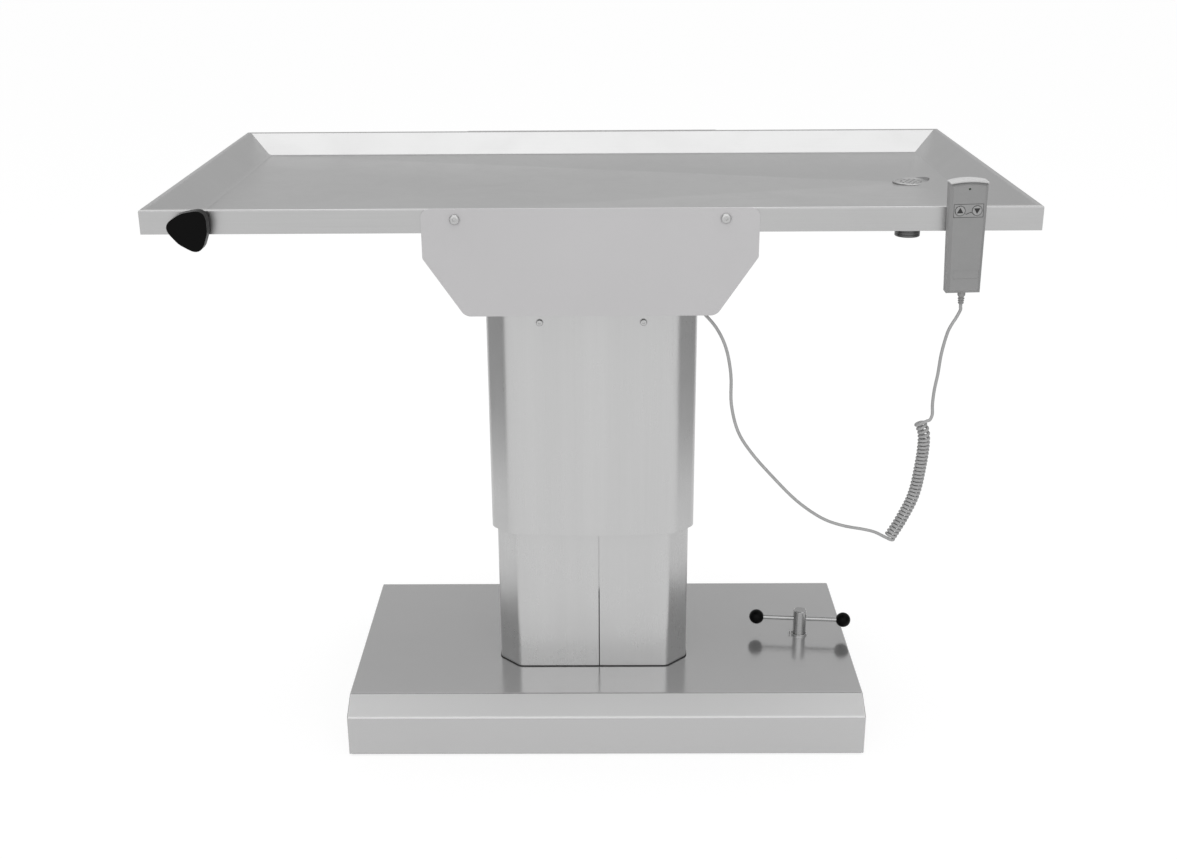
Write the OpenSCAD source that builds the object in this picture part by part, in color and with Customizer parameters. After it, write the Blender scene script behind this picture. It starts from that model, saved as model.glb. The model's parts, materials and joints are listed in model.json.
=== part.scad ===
// Animal operating table with a drained stainless tray, an electric lifting column,
// a tilting under frame, a corded handset and a wheeled jack in its base.
// Millimetres. +X runs along the tray to the drain, -Y is the front, +Z is up.
// The origin is on the floor under the centre of the column.

/* [Tray] */
// Length of the tray
top_length = 1200; // [1100:10:1300]
// Width of the tray
top_width = 650; // [630:5:680]
// Height of the rim above the floor
rim_height = 900; // [890:5:930]
// Thickness of the tray's sheet
tray_sheet = 1.5; // [1:0.5:2]
// Width of the flat rim
rim_width = 9; // [7:1:12]
// Plan width of the sloping inner walls
wall_run = 38; // [34:1:42]
// Depth of the sloping inner walls
wall_drop = 32.5; // [30:0.5:36]
// Height of the outer apron
apron_height = 33; // [30:1:40]
// Fall of the floor from its edge to the drain
floor_fall = 12; // [8:1:16]

/* [Drain] */
// Distance of the drain from the tray's end
drain_from_end = 95; // [90:1:140]
// How far the drain is set back from the tray's middle
drain_back = 68; // [0:1:90]
// Diameter of the outlet's threaded top
drain_pipe_d = 42; // [41.5:0.5:44]
// Length of the outlet's threaded top
drain_thread_l = 14.5; // [13.5:0.5:20]
// Diameter of the plain spout below the thread
drain_spout_d = 40; // [36:0.5:41]
// Bore of the outlet pipe
drain_bore_d = 34; // [28:0.5:35]
// Reach of the outlet below its seat
drain_reach = 84.5; // [60:0.5:95]
// Diameter of the drain's flange
drain_flange_d = 56; // [52:1:60]
// Thickness of the drain's flange
drain_flange_h = 3; // [2.5:0.5:4]
// Diameter of the lift-out strainer
strainer_d = 47; // [42:1:50]
// Thickness of the strainer
strainer_h = 1.2; // [0.8:0.1:1.4]
// Diameter of the strainer's holes
strainer_hole_d = 4.2; // [3:0.2:5]
// Thickness of the rubber gasket
gasket_h = 2; // [1:0.5:3]
// Height of the hexagonal lock nut
locknut_h = 10; // [8:1:14]
// Width of the lock nut across its flats
locknut_w = 54; // [50:1:58]

/* [Side plates] */
// Width of a side plate
plate_width = 450; // [430:5:480]
// Height of a side plate
plate_height = 147.5; // [135:0.5:160]
// Height of its upright sides
plate_side = 65; // [55:1:75]
// Width of its foot
plate_foot = 354; // [300:2:380]
// Thickness of a side plate
plate_sheet = 3; // [2:0.5:4]
// Radius of its upper corners
plate_corner_r = 12; // [8:1:16]
// Radius of its foot corners
plate_foot_r = 14; // [10:1:24]
// Distance between the two bolts of a plate
bolt_gap = 360; // [340:5:380]
// Drop of the bolts below the rim
bolt_drop = 14; // [13:0.5:16]
// Thread diameter of the bolts
bolt_d = 8; // [6:1:8]
// Diameter of the round bolt heads
bolt_head_d = 14; // [12:0.5:16]
// Height of the round bolt heads
bolt_head_h = 4.4; // [3:0.2:5]
// Width of the nuts across their flats
nut_w = 13; // [12:0.5:14]
// Height of the nuts
nut_h = 6.5; // [5:0.5:7]

/* [Under frame] */
// Width of a cross channel
channel_width = 50; // [46:1:60]
// Height of a cross channel
channel_height = 30; // [26:1:34]
// Wall of a cross channel
channel_wall = 3; // [2:0.5:4]
// Thickness of the end flanges
flange_sheet = 4; // [3:0.5:5]
// Depth of the tilt axis below the rim
pivot_drop = 100; // [98:1:104]
// Thickness of the saddle plates
saddle_sheet = 6; // [5:0.5:8]
// Distance from the centre to a saddle plate's inner face
saddle_in = 106; // [104:1:108]
// Radius of the plates around the tilt shaft
boss_r = 24; // [22:1:26]
// Diameter of the tilt shaft
shaft_d = 25; // [20:1:26]
// Wall of the bronze bushes
bush_wall = 3; // [2:0.5:3.5]
// Radius of the quadrant's slot
slot_r = 60; // [56:1:64]
// Half angle that the top tilts either way
tilt_angle = 15; // [8:1:15]
// Diameter of the clamp stud
clamp_d = 10; // [8:1:12]
// Length of the clamp lever
lever_length = 78; // [60:1:85]

/* [Column] */
// Drop of the head plate below the rim
head_drop = 192; // [190:1:196]
// Thickness of the head plate
head_plate_h = 8; // [6:1:10]
// Length of the head plate
head_length = 230; // [200:5:236]
// Thickness of its upright cheeks
cheek_sheet = 6; // [5:0.5:8]
// Width of the outer sleeve
sleeve_width = 323; // [315:1:330]
// Depth of the outer sleeve at its middle
sleeve_depth = 260; // [252:1:264]
// How far the sleeve's faces bow out
sleeve_bow = 8; // [4:0.5:8]
// Height of the outer sleeve
sleeve_height = 373; // [360:1:390]
// Chamfer of the sleeve's corners
sleeve_chamfer = 31; // [27:1:34]
// Thickness of the column's sheet
column_sheet = 2; // [1.5:0.5:2.5]
// Width of the inner column
column_width = 308; // [296:1:310]
// Depth of the inner column
column_depth = 220; // [204:1:224]
// Chamfer of the inner column's corners
column_chamfer = 33; // [28:1:38]
// Height of the inner column's top above the floor
column_top = 450; // [440:1:455]
// Place of the seam between the two folded shells
seam_x = 9.5; // [0:0.5:20]
// Width of the lower mast
mast_width = 140; // [134:1:144]
// Wall of the mast tubes
mast_wall = 6; // [5:0.5:7]
// Width of the upper mast
mast_inner_width = 120; // [114:1:121]
// Height of the lower mast's top above the floor
mast_top = 440; // [420:1:445]
// Height of the upper mast's lower end above the floor
mast_end = 262; // [258:1:275]
// Length of the glide pads
glide_length = 45; // [30:1:60]
// Diameter of the lifting rod
rod_d = 30; // [24:1:32]
// Diameter of the actuator's tube
actuator_d = 50; // [44:1:52]
// Diameter of the motor
motor_d = 42; // [36:1:46]
// Height of the motor
motor_height = 150; // [100:5:180]

/* [Base] */
// Length of the base
base_length = 820; // [800:5:850]
// Width of the base
base_width = 470; // [460:5:500]
// Height of the base
base_height = 90; // [88:1:96]
// How far the base is set towards the drain end
base_shift = 20; // [0:1:30]
// Plan width of the sloping upper band
band_run = 40; // [30:1:44]
// Height of the sloping upper band
band_drop = 20.5; // [15:0.5:24]
// Thickness of the cover's sheet
cover_sheet = 2; // [1.5:0.5:2.5]
// Gap under the cover's skirt
skirt_gap = 3; // [2:0.5:5]
// Thickness of the base plate
floor_plate = 10; // [8:1:12]
// Diameter of the posts that carry the cover
post_d = 16; // [12:1:20]

/* [Jack] */
// Distance of the jack's handle from the base's end
jack_from_end = 77; // [72:1:85]
// Diameter of the handle's post
jack_post_d = 22; // [16:1:24]
// Height of the post above the base
jack_post_h = 46; // [36:1:50]
// Diameter of the jack's thread
jack_thread_d = 16; // [14:1:18]
// Length of the cross bar between the balls' centres
bar_length = 147; // [120:1:160]
// Diameter of the cross bar
bar_d = 8; // [6:1:10]
// Turn of the cross bar in plan
bar_turn = -5; // [-20:1:20]
// Diameter of the black balls
ball_d = 25; // [20:0.5:26]
// Diameter of the castor and roller wheels
wheel_d = 50; // [46:1:50]
// Width of the wheels
wheel_w = 18; // [14:1:18]
// Diameter of the wheel axles
axle_d = 8; // [6:1:10]
// Distance of the castors from the middle
castor_y = 150; // [145:1:152]
// Trail of a castor
castor_trail = 20; // [14:1:21]
// Distance of the fixed rollers from the base's other end
roller_from_end = 50; // [45:1:70]

/* [Handset] */
// Width of the handset's upper end
handset_top_w = 50; // [46:1:52]
// Width of the handset's lower end
handset_foot_w = 45; // [42:1:48]
// Height of the handset's body
handset_h = 146; // [130:1:150]
// Thickness of the handset
handset_d = 22; // [20:0.5:24]
// Wall of the handset's shells
handset_wall = 2.4; // [2:0.2:2.6]
// Lean of the handset to one side
handset_lean = -1.2; // [-3:0.1:0]
// Distance of the handset from the tray's end
handset_from_end = 104.5; // [100:0.5:120]
// Diameter of the push buttons
button_d = 12; // [10:0.5:13]
// Distance between the two buttons
button_gap = 22; // [19:0.5:24]
// Width of the button window
window_w = 39; // [37:0.5:40]
// Height of the button window
window_h = 18; // [16:0.5:20]
// Diameter of the cord
cord_d = 4.5; // [4:0.1:4.6]
// Outer diameter of the curly cord
curl_d = 17.5; // [16:0.5:19]
// Number of curls
curls = 33; // [24:1:33]

/* [Tie knob] */
// Distance of the knob from the tray's end
knob_from_end = 71.5; // [60:0.5:80]
// Drop of the knob's centre below the rim
knob_drop = 23; // [20:0.5:24]
// Distance from the knob's centre to its lobes
knob_reach = 29; // [28:1:36]
// Thickness of the knob
knob_h = 17; // [14:0.5:18]
// Thread diameter of the knob's stud
knob_stud_d = 8; // [6:1:10]

/* [Hidden] */
$fn = 64;

// Overrun of every cut past the face that it opens
overrun = 1;
// Gap between faces that move past each other
slip = 0.4;
// Gap around a shaft that turns or slides in its bore, on the diameter
running = 0.1;
// Gap around a fixed piece in its hole, on the diameter
loose = 0.5;

// Heights of the top, from the rim down
floor_z = rim_height - wall_drop;
seat_z = floor_z - floor_fall;
apron_z = rim_height - apron_height;
pivot_z = rim_height - pivot_drop;
head_z = rim_height - head_drop;
drain_x = top_length / 2 - drain_from_end;
wall_slope = wall_run / wall_drop;
// Level shift of a sloping wall's outer face
wall_shift = tray_sheet * sqrt(1 + wall_slope * wall_slope);
apron_y = top_width / 2;
cup_gap = 0.6;
cup_d = drain_flange_d + 2 * cup_gap;

// Side plates
bolt_z = rim_height - bolt_drop;
flange_y = apron_y - tray_sheet - flange_sheet;
nut_y = flange_y - nut_h;
plate_side_r = 6;

// Under frame
channel_x = bolt_gap / 2;
channel_top = seat_z;
channel_z = channel_top - channel_height;
flange_over = 9;
flange_top = bolt_z + flange_over;
saddle_out = saddle_in + saddle_sheet;
saddle_half = channel_x + channel_width / 2;
saddle_strip = 14;
cheek_out = saddle_in - cheek_sheet;
cheek_in = cheek_out - cheek_sheet;
cheek_half = 70;
bush_flange = 2;
collar_h = 4;
collar_step = 4;
collar_d = shaft_d + 2 * collar_step;
quadrant_sheet = 5;
quadrant_out = saddle_out + quadrant_sheet;
slot_w = clamp_d + 2 * slip;
slot_spare_angle = 6;
slot_half_angle = tilt_angle + slot_spare_angle;
quadrant_edge = 7;
quadrant_r = slot_r + slot_w / 2 + quadrant_edge;
quadrant_spare_angle = 14;
quadrant_half_angle = slot_half_angle + quadrant_spare_angle;
hub_d = 24;
hub_l = 21;
hub_end = quadrant_out + hub_l;
lever_out = 11;
lever_y = quadrant_out + lever_out;
stud_boss_d = clamp_d + 8;
stud_cap_h = 6;
lever_ball_d = 22;

// Column
head_top = head_z;
head_under = head_top - head_plate_h;
sleeve_z = head_top - sleeve_height;
sleeve_r = 12;
sleeve_half = sleeve_width / 2 - sleeve_chamfer;
bow_r = (sleeve_half * sleeve_half + sleeve_bow * sleeve_bow) / (2 * sleeve_bow);
tab_w = 30;
tab_h = 34;
tab_sheet = 4;
screw_x = 78;
screw_drop = 15;
screw_z = head_under - screw_drop;
screw_d = 6;
screw_l = 12;
screw_head_d = 11;
screw_head_h = 3;
bend_r = 11;
seal_h = 1.5;
seam_lap = 28;
seal_w = 1.6;
glide_gap = (mast_width - mast_inner_width) / 2 - mast_wall;
glide_sheet = glide_gap - slip + running;
glide_w = 40;
mast_foot_w = 200;
mast_foot_h = 12;
rod_off = 22;
rod_x = -rod_off;
motor_x = 28;
gearbox_length = 100;
gearbox_width = 60;
gearbox_height = 36;
gearbox = [gearbox_length, gearbox_width, gearbox_height];
gearbox_z = floor_plate + mast_foot_h;
tube_z = gearbox_z + gearbox.z;
tube_short = 15;
tube_top = mast_top - tube_short;
gland_h = 20;
rod_back = 38;
rod_end = mast_end + rod_back;
glide_drop = 3;

// Base
cover_top = base_height - cover_sheet;
base_x0 = base_shift - base_length / 2;
base_x1 = base_shift + base_length / 2;
frame_gap = 2;
castor_hole_r = 50;
guide_d = 12;
guide_y = 80;
inlet_from_end = 140;
inlet_x = base_x0 + inlet_from_end;
jack_x = base_x1 - jack_from_end;
roller_x = base_x0 + roller_from_end;
inlet_z = 40;
inlet_w = 27.5;
inlet_h = 20;
inlet_depth = 22;
inlet_wall = 2.5;
inlet_flange_w = 50;
inlet_flange_h = 25;
inlet_flange = [inlet_flange_w, inlet_wall, inlet_flange_h];

// Jack: the castors stand clear of the floor until the screw lowers their carrier
castor_lift = 8;
castor_axle_z = castor_lift + wheel_d / 2;
crown_gap = 2;
crown_z = castor_lift + wheel_d + crown_gap;
crown_h = 4;
crown_d = 2 * castor_trail + crown_h;
carrier_z = crown_z + crown_h + slip;
carrier_h = 8;
carrier_top = carrier_z + carrier_h;
carrier_w = 60;
carrier_past = 25;
carrier_end = castor_y + carrier_past;
kingpin_d = 10;
kingpin_head_d = 18;
kingpin_head_h = 5;
nut_boss_h = 14;
nut_boss_d = 36;
bridge_h = 8;
bridge_w = 30;
bridge_z = cover_top - bridge_h - running;
jack_collar_h = 5;
jack_collar_d = jack_post_d + 2 * jack_collar_h;
jack_collar_z = bridge_z - jack_collar_h - slip;
pivot_boss_h = 10;
jack_tip_d = 12;
pivot_boss_d = 30;
bar_drop = 16;
bar_z = base_height + jack_post_h - bar_drop;
escutcheon_w = 2.5;
escutcheon_h = 3;
ear_d = 5;
roller_axle_z = skirt_gap + wheel_d / 2;
wheel_gap = 1.5;
bracket_sheet = 3;

// Handset, set out from its own middle
handset_x = top_length / 2 - handset_from_end;
handset_drop = 40;
handset_z = rim_height - handset_drop;
handset_off = 0.6;
handset_back_y = -apron_y - handset_off;
handset_mid_y = handset_back_y - handset_d / 2;
handset_front_y = handset_back_y - handset_d;
bevel = 4;
arch = 2.5;
cap_h = 3.5;
cap_proud = 1;
window_z = 38.5;
window_deep = 0.8;
button_flange_h = 1.2;
button_flange_w = 0.8;
button_proud = 0.4;
hook_sheet = 3;
hook_w = 30;
hook_reach = 12;
light_d = 3;
relief_h = 17;
relief_top_d = 10.4;
relief_end_d = 6.4;
rib_pitch = 3;
rib_h = 1.6;
rib_step = 0.6;
handset_up = [sin(handset_lean), 0, cos(handset_lean)];
relief_end = [handset_x, handset_mid_y, handset_z] - (handset_h / 2 + relief_h) * handset_up;

// Control box on the back of the front plate, with its cord gland
box_length = 130;
box_depth = 40;
box_height = 64;
box_size = [box_length, box_depth, box_height];
box_left = 60;
box_x0 = -box_left;
box_drop = 114;
box_z0 = rim_height - box_drop;
gland_drop = 100;
gland_z = rim_height - gland_drop;
gland_back = 25;
gland_y = gland_back - apron_y;
gland_d = 15;
gland_l = 22;

// Tie knob
knob_x = knob_from_end - top_length / 2;
knob_z = rim_height - knob_drop;
disc_h = 2;
disc_d = 26;
disc_gap = 1.5;
knob_boss_h = 2;
lobe_r = 14;
lobe_turn = 70;
knob_back = -apron_y - disc_gap - disc_h - slip;
knob_boss_d = disc_d - 2 * disc_h;
bush_d = 14;
bush_l = 12;
bush_rim_w = 3;
bush_rim_h = 2;
stud_past = 4;

// Places of the cords' centre lines, by hand: the lower cord from the gland to the curls,
// the axis of the curls, and the upper cord from the curls to the handset
route_lower = [
    [92, -300, 800], [97, -300, 800], [102, -300, 800], [115, -300, 793], [132, -300, 775], [152.5, -300, 751],
    [173, -301, 727], [187, -303, 698], [194.5, -305, 660], [196, -308, 618], [206, -312, 579],
    [225, -317, 549], [254, -322, 516], [290, -328, 480], [325, -334, 456], [354, -340, 446.5],
    [384, -345, 442.5], [400, -346, 438.7]
];
route_curls = [
    [423, -340, 427], [438, -340, 456], [453, -340, 494], [459.5, -340, 538], [461.5, -340, 570],
    [460, -340, 588], [454, -340, 602]
];
route_upper = [
    [469, -345.5, 615.5], [468.5, -344, 630], [470, -342, 650], [473.5, -340, 672], [476.5, -338, 700],
    [482.3, -337, 728], [487.5, -337, 741], [492.8, -336.8, 750.5]
];

// Curve through the route's points
function spline_point(a, b, c, d, t) =
    0.5 * ((2 * b) + (c - a) * t + (2 * a - 5 * b + 4 * c - d) * t * t + (3 * b - a - 3 * c + d) * t * t * t);
function route_at(p, i) = i < 0 ? 2 * p[0] - p[1] : i >= len(p) ? 2 * p[len(p) - 1] - p[len(p) - 2] : p[i];
function smooth_route(p, steps) = [
    for (i = [0 : len(p) - 2], s = [0 : steps - 1])
        spline_point(route_at(p, i - 1), p[i], p[i + 1], route_at(p, i + 2), s / steps),
    p[len(p) - 1]
];

// Rings of a tube: each ring stands square to the line, carried on from the last without twist
function unit(v) = v / norm(v);
function tangent(p, i) = unit(p[min(i + 1, len(p) - 1)] - p[max(i - 1, 0)]);
function square_to(v, t) = unit(v - (v * t) * t);
function carried(p, i, v) = square_to(v, tangent(p, i));
function ring(c, t, u, r, sides) = [
    for (k = [0 : sides - 1]) c + r * (cos(360 * k / sides) * u + sin(360 * k / sides) * cross(t, u))
];
function tube_points(p, r, sides, side) = [
    for (i = 0, u = carried(p, 0, side); i < len(p); i = i + 1, u = i < len(p) ? carried(p, i, u) : u)
        each ring(p[i], tangent(p, i), u, r, sides)
];
function tube_faces(rings, sides) = [
    for (i = [0 : rings - 2], k = [0 : sides - 1])
        let (a = i * sides + k, b = i * sides + (k + 1) % sides)
        each [[a, a + sides, b], [b, a + sides, b + sides]],
    for (k = [1 : sides - 2]) each [[0, k, k + 1],
        [(rings - 1) * sides, (rings - 1) * sides + k + 1, (rings - 1) * sides + k]]
];
module tube(p, d, sides, side) {
    polyhedron(points = tube_points(p, d / 2, sides, side), faces = tube_faces(len(p), sides), convexity = 8);
}

// Line of the curly cord: the cord comes in along the front of its first curl, winds round
// the curved axis and leaves along the front of its last curl
rings_per_curl = 8;
curl_r = (curl_d - cord_d) / 2;
curl_axis = smooth_route(route_curls, 8);
axis_lengths = [
    for (i = 0, s = 0; i < len(curl_axis);
        i = i + 1, s = i < len(curl_axis) ? s + norm(curl_axis[i] - curl_axis[i - 1]) : s) s
];
axis_length = axis_lengths[len(axis_lengths) - 1];
axis_tables = [for (k = [0 : 2]) [for (i = [0 : len(curl_axis) - 1]) [axis_lengths[i], curl_axis[i][k]]]];
function axis_at(s) = [for (k = [0 : 2]) lookup(s, axis_tables[k])];
function axis_dir(s) = unit(axis_at(min(s + cord_d, axis_length)) - axis_at(max(s - cord_d, 0)));
// The last curls fan out where the cord's own weight bends them over
fanned_curls = 4;
fanned_pitch = curl_d * 0.38;
curl_places = [
    [0, 0], [curls - fanned_curls, axis_length - fanned_curls * fanned_pitch], [curls, axis_length]
];
function curl_side(s) = [axis_dir(s).z, 0, -axis_dir(s).x];
function curl_point(i) =
    let (s = lookup(i / rings_per_curl, curl_places), turn = 360 * i / rings_per_curl - 90)
    axis_at(s) + curl_r * (cos(turn) * curl_side(s) + sin(turn) * [0, 1, 0]);
curl_steps = curls * rings_per_curl;
curl_lead_in = cord_d * curl_side(0);
curl_lead_out = cord_d * curl_side(axis_length);
curl_line = [
    curl_point(0) - curl_lead_in,
    for (i = [0 : curl_steps]) curl_point(i),
    curl_point(curl_steps) + curl_lead_out
];
// Least distance between stretches that are not neighbours on the line, less the cord's thickness
neighbours = 5;
curl_gap = min([
    for (i = [0 : len(curl_line) - neighbours - 1])
        min([for (j = [i + neighbours : len(curl_line) - 1]) norm(curl_line[i] - curl_line[j])])
]) - cord_d;
echo(curl_gap = curl_gap);
lower_line = smooth_route(concat(
    route_lower, [for (k = [2 : -1 : 0]) curl_line[0] - k * curl_lead_in]), 3);
curls_end = curl_line[len(curl_line) - 1];
upper_line = smooth_route(concat(
    [for (k = [0 : 2]) curls_end + k * curl_lead_out], route_upper,
    [for (k = [2 : -1 : 0]) relief_end - k * cord_d * handset_up]), 2);

// Simple shapes
module rod_y(d, y0, y1) {
    translate([0, y0, 0]) rotate([-90, 0, 0]) cylinder(d = d, h = y1 - y0);
}
module rod_x(d, x0, x1) {
    translate([x0, 0, 0]) rotate([0, 90, 0]) cylinder(d = d, h = x1 - x0);
}
module upright(y0, thickness) {
    translate([0, y0 + thickness, 0]) rotate([90, 0, 0]) linear_extrude(thickness) children();
}
module both_sides() {
    children();
    mirror([0, 1, 0]) children();
}
module block(x0, x1, y0, y1, z0, z1) {
    translate([x0, y0, z0]) cube([x1 - x0, y1 - y0, z1 - z0]);
}
module hexagon(width, h) {
    cylinder(d = width / cos(30), h = h, $fn = 6);
}

// Outlines of the column: a box with chamfered, rounded corners, and the same with bowed faces
module chamfered(width, depth, chamfer, r) {
    x = width / 2 - r;
    y = depth / 2 - r;
    c = chamfer - r * (2 - sqrt(2));
    hull() for (sx = [-1, 1], sy = [-1, 1]) {
        translate([sx * x, sy * (y - c)]) circle(r, $fn = 32);
        translate([sx * (x - c), sy * y]) circle(r, $fn = 32);
    }
}
module sleeve_outline(inset) {
    intersection() {
        chamfered(sleeve_width - 2 * inset, sleeve_depth - 2 * inset, sleeve_chamfer + sleeve_bow,
            sleeve_r - inset);
        translate([0, bow_r - sleeve_depth / 2]) circle(bow_r - inset, $fn = 360);
        translate([0, sleeve_depth / 2 - bow_r]) circle(bow_r - inset, $fn = 360);
    }
}
module column_outline(grow) {
    chamfered(column_width + 2 * grow, column_depth + 2 * grow, column_chamfer, bend_r + grow);
}

// Tray
module basin(skin, top) {
    x = top_length / 2 - rim_width + (skin > 0 ? wall_shift : 0);
    y = top_width / 2 - rim_width + (skin > 0 ? wall_shift : 0);
    up = (top - rim_height) * wall_slope;
    down = (wall_drop + skin) * wall_slope;
    polyhedron(
        points = [
            [-x - up, -y - up, top], [x + up, -y - up, top], [x + up, y + up, top], [-x - up, y + up, top],
            [-x + down, -y + down, floor_z - skin], [x - down, -y + down, floor_z - skin],
            [x - down, y - down, floor_z - skin], [-x + down, y - down, floor_z - skin],
            [drain_x, drain_back, seat_z - skin]
        ],
        faces = [
            [0, 3, 2, 1], [0, 1, 5, 4], [1, 2, 6, 5], [2, 3, 7, 6], [3, 0, 4, 7],
            [4, 5, 8], [5, 6, 8], [6, 7, 8], [7, 4, 8]
        ]
    );
}
module drain_cup(d, z0) {
    translate([drain_x, drain_back, z0]) cylinder(d = d, h = floor_z - z0);
}
module tray() {
    color([0.76, 0.77, 0.77])
    difference() {
        union() {
            difference() {
                block(-top_length / 2, top_length / 2, -apron_y, apron_y, apron_z, rim_height);
                block(-top_length / 2 + tray_sheet, top_length / 2 - tray_sheet, -apron_y + tray_sheet,
                    apron_y - tray_sheet, apron_z - overrun, rim_height - tray_sheet);
            }
            basin(tray_sheet, rim_height - tray_sheet / 2);
            drain_cup(cup_d + 2 * tray_sheet, seat_z - tray_sheet);
        }
        basin(0, rim_height + overrun);
        drain_cup(cup_d, seat_z);
        drain_cup(drain_pipe_d + loose, seat_z - tray_sheet - overrun);
        for (x = [-channel_x, channel_x], side = [-1, 1]) translate([x, side * apron_y, bolt_z])
            rod_y(bolt_d + loose, -2 * tray_sheet, 2 * tray_sheet);
        translate([knob_x, 0, knob_z]) rod_y(bush_d, -apron_y - overrun, -apron_y + tray_sheet + overrun);
    }
}

// Side plates
module side_outline() {
    half = plate_width / 2;
    foot = plate_foot / 2;
    hull() for (side = [-1, 1]) {
        translate([side * (half - plate_corner_r), rim_height - plate_corner_r])
            circle(plate_corner_r, $fn = 32);
        translate([side * (half - plate_side_r), rim_height - plate_side]) circle(plate_side_r, $fn = 32);
        translate([side * (foot - plate_foot_r), rim_height - plate_height + plate_foot_r])
            circle(plate_foot_r, $fn = 32);
    }
}
module side_plate() {
    difference() {
        upright(-apron_y - plate_sheet, plate_sheet) side_outline();
        for (x = [-channel_x, channel_x])
            translate([x, -apron_y, bolt_z]) rod_y(bolt_d + loose, -plate_sheet - overrun, overrun);
    }
}
module side_plate_front() {
    color([0.78, 0.77, 0.78]) side_plate();
}
module side_plate_rear() {
    color([0.78, 0.77, 0.78]) mirror([0, 1, 0]) side_plate();
}
module side_plate_bolts() {
    head_y = -apron_y - plate_sheet;
    color([0.7, 0.7, 0.7]) both_sides() for (x = [-channel_x, channel_x]) translate([x, 0, bolt_z]) {
        rod_y(bolt_d, head_y, -nut_y + nut_h / 3);
        difference() {
            rod_y(bolt_head_d, head_y - bolt_head_h, head_y);
            translate([0, head_y - bolt_head_h / 2, 0]) rotate([90, 0, 0]) hexagon(bolt_d * 0.6, bolt_head_h);
        }
        difference() {
            translate([0, -flange_y, 0]) rotate([-90, 0, 0]) hexagon(nut_w, nut_h);
            rod_y(bolt_d, -flange_y - overrun, -nut_y + overrun);
        }
    }
}

// Under frame that tilts with the tray
module cross_channels() {
    color([0.62, 0.63, 0.64]) for (x = [-channel_x, channel_x]) difference() {
        union() {
            block(x - channel_width / 2, x + channel_width / 2, -flange_y, flange_y, channel_z, channel_top);
            both_sides() block(x - channel_width / 2, x + channel_width / 2, -flange_y - flange_sheet,
                -flange_y, channel_z, flange_top);
        }
        block(x - channel_width / 2 + channel_wall, x + channel_width / 2 - channel_wall, -flange_y, flange_y,
            channel_z + channel_wall, channel_top + overrun);
        translate([x, 0, bolt_z]) rod_y(bolt_d + loose, -apron_y, apron_y);
    }
}
module saddle_plates() {
    color([0.62, 0.63, 0.64]) both_sides() difference() {
        upright(-saddle_out, saddle_sheet) hull() {
            translate([-saddle_half, channel_z - saddle_strip]) square([2 * saddle_half, saddle_strip]);
            translate([0, pivot_z]) circle(boss_r, $fn = 32);
        }
        translate([0, 0, pivot_z])
            rod_y(shaft_d + 2 * bush_wall, -saddle_out - overrun, -saddle_in + overrun);
    }
}
module tilt_bushes() {
    color([0.72, 0.55, 0.3]) both_sides() translate([0, 0, pivot_z]) difference() {
        union() {
            rod_y(shaft_d + 2 * bush_wall, -saddle_out, -saddle_in);
            rod_y(shaft_d + 4 * bush_wall, -saddle_in, -saddle_in + bush_flange);
        }
        rod_y(shaft_d + running, -saddle_out - overrun, -saddle_in + bush_flange + overrun);
    }
}
// Sector below the tilt shaft, in the plane of the tilt
module sector(r, half_angle) {
    intersection() {
        circle(r);
        polygon([[0, 0], [-2 * r * sin(half_angle), -2 * r * cos(half_angle)],
            [2 * r * sin(half_angle), -2 * r * cos(half_angle)]]);
    }
}
module tilt_quadrant() {
    color([0.62, 0.63, 0.64]) upright(saddle_out, quadrant_sheet) translate([0, pivot_z]) difference() {
        union() {
            circle(boss_r);
            sector(quadrant_r, quadrant_half_angle);
        }
        circle(d = collar_d + 4 * slip);
        difference() {
            sector(slot_r + slot_w / 2, slot_half_angle);
            circle(slot_r - slot_w / 2);
        }
        for (side = [-1, 1]) rotate(side * slot_half_angle) translate([0, -slot_r]) circle(d = slot_w);
    }
}

// Drain
module drain_body() {
    color([0.45, 0.45, 0.46]) translate([drain_x, drain_back, seat_z]) difference() {
        union() {
            translate([0, 0, -drain_reach]) cylinder(d = drain_spout_d, h = drain_reach);
            translate([0, 0, -drain_thread_l]) cylinder(d = drain_pipe_d, h = drain_thread_l);
            cylinder(d = drain_flange_d, h = drain_flange_h);
        }
        translate([0, 0, -drain_reach - overrun])
            cylinder(d = drain_bore_d, h = drain_reach + 2 * drain_flange_h);
        translate([0, 0, drain_flange_h / 2]) cylinder(d = strainer_d + loose, h = drain_flange_h);
    }
}
module drain_gasket() {
    color([0.1, 0.1, 0.1]) translate([drain_x, drain_back, seat_z - tray_sheet - gasket_h]) difference() {
        cylinder(d = drain_flange_d, h = gasket_h);
        translate([0, 0, -overrun]) cylinder(d = drain_pipe_d + loose, h = gasket_h + 2 * overrun);
    }
}
module drain_locknut() {
    locknut_z = seat_z - tray_sheet - gasket_h - locknut_h;
    color([0.5, 0.5, 0.51]) translate([drain_x, drain_back, locknut_z]) difference() {
        hexagon(locknut_w, locknut_h);
        translate([0, 0, -overrun]) cylinder(d = drain_pipe_d + running, h = locknut_h + 2 * overrun);
    }
}
module drain_strainer() {
    holes = [6, 12];
    color([0.7, 0.71, 0.72]) translate([drain_x, drain_back, seat_z + drain_flange_h / 2]) difference() {
        cylinder(d = strainer_d, h = strainer_h);
        translate([0, 0, -overrun]) cylinder(d = strainer_hole_d, h = strainer_h + 2 * overrun);
        for (row = [0 : len(holes) - 1], k = [1 : holes[row]])
            rotate(360 * k / holes[row]) translate([(row + 1) * strainer_d / 6, 0, -overrun])
                cylinder(d = strainer_hole_d, h = strainer_h + 2 * overrun);
    }
}

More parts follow.
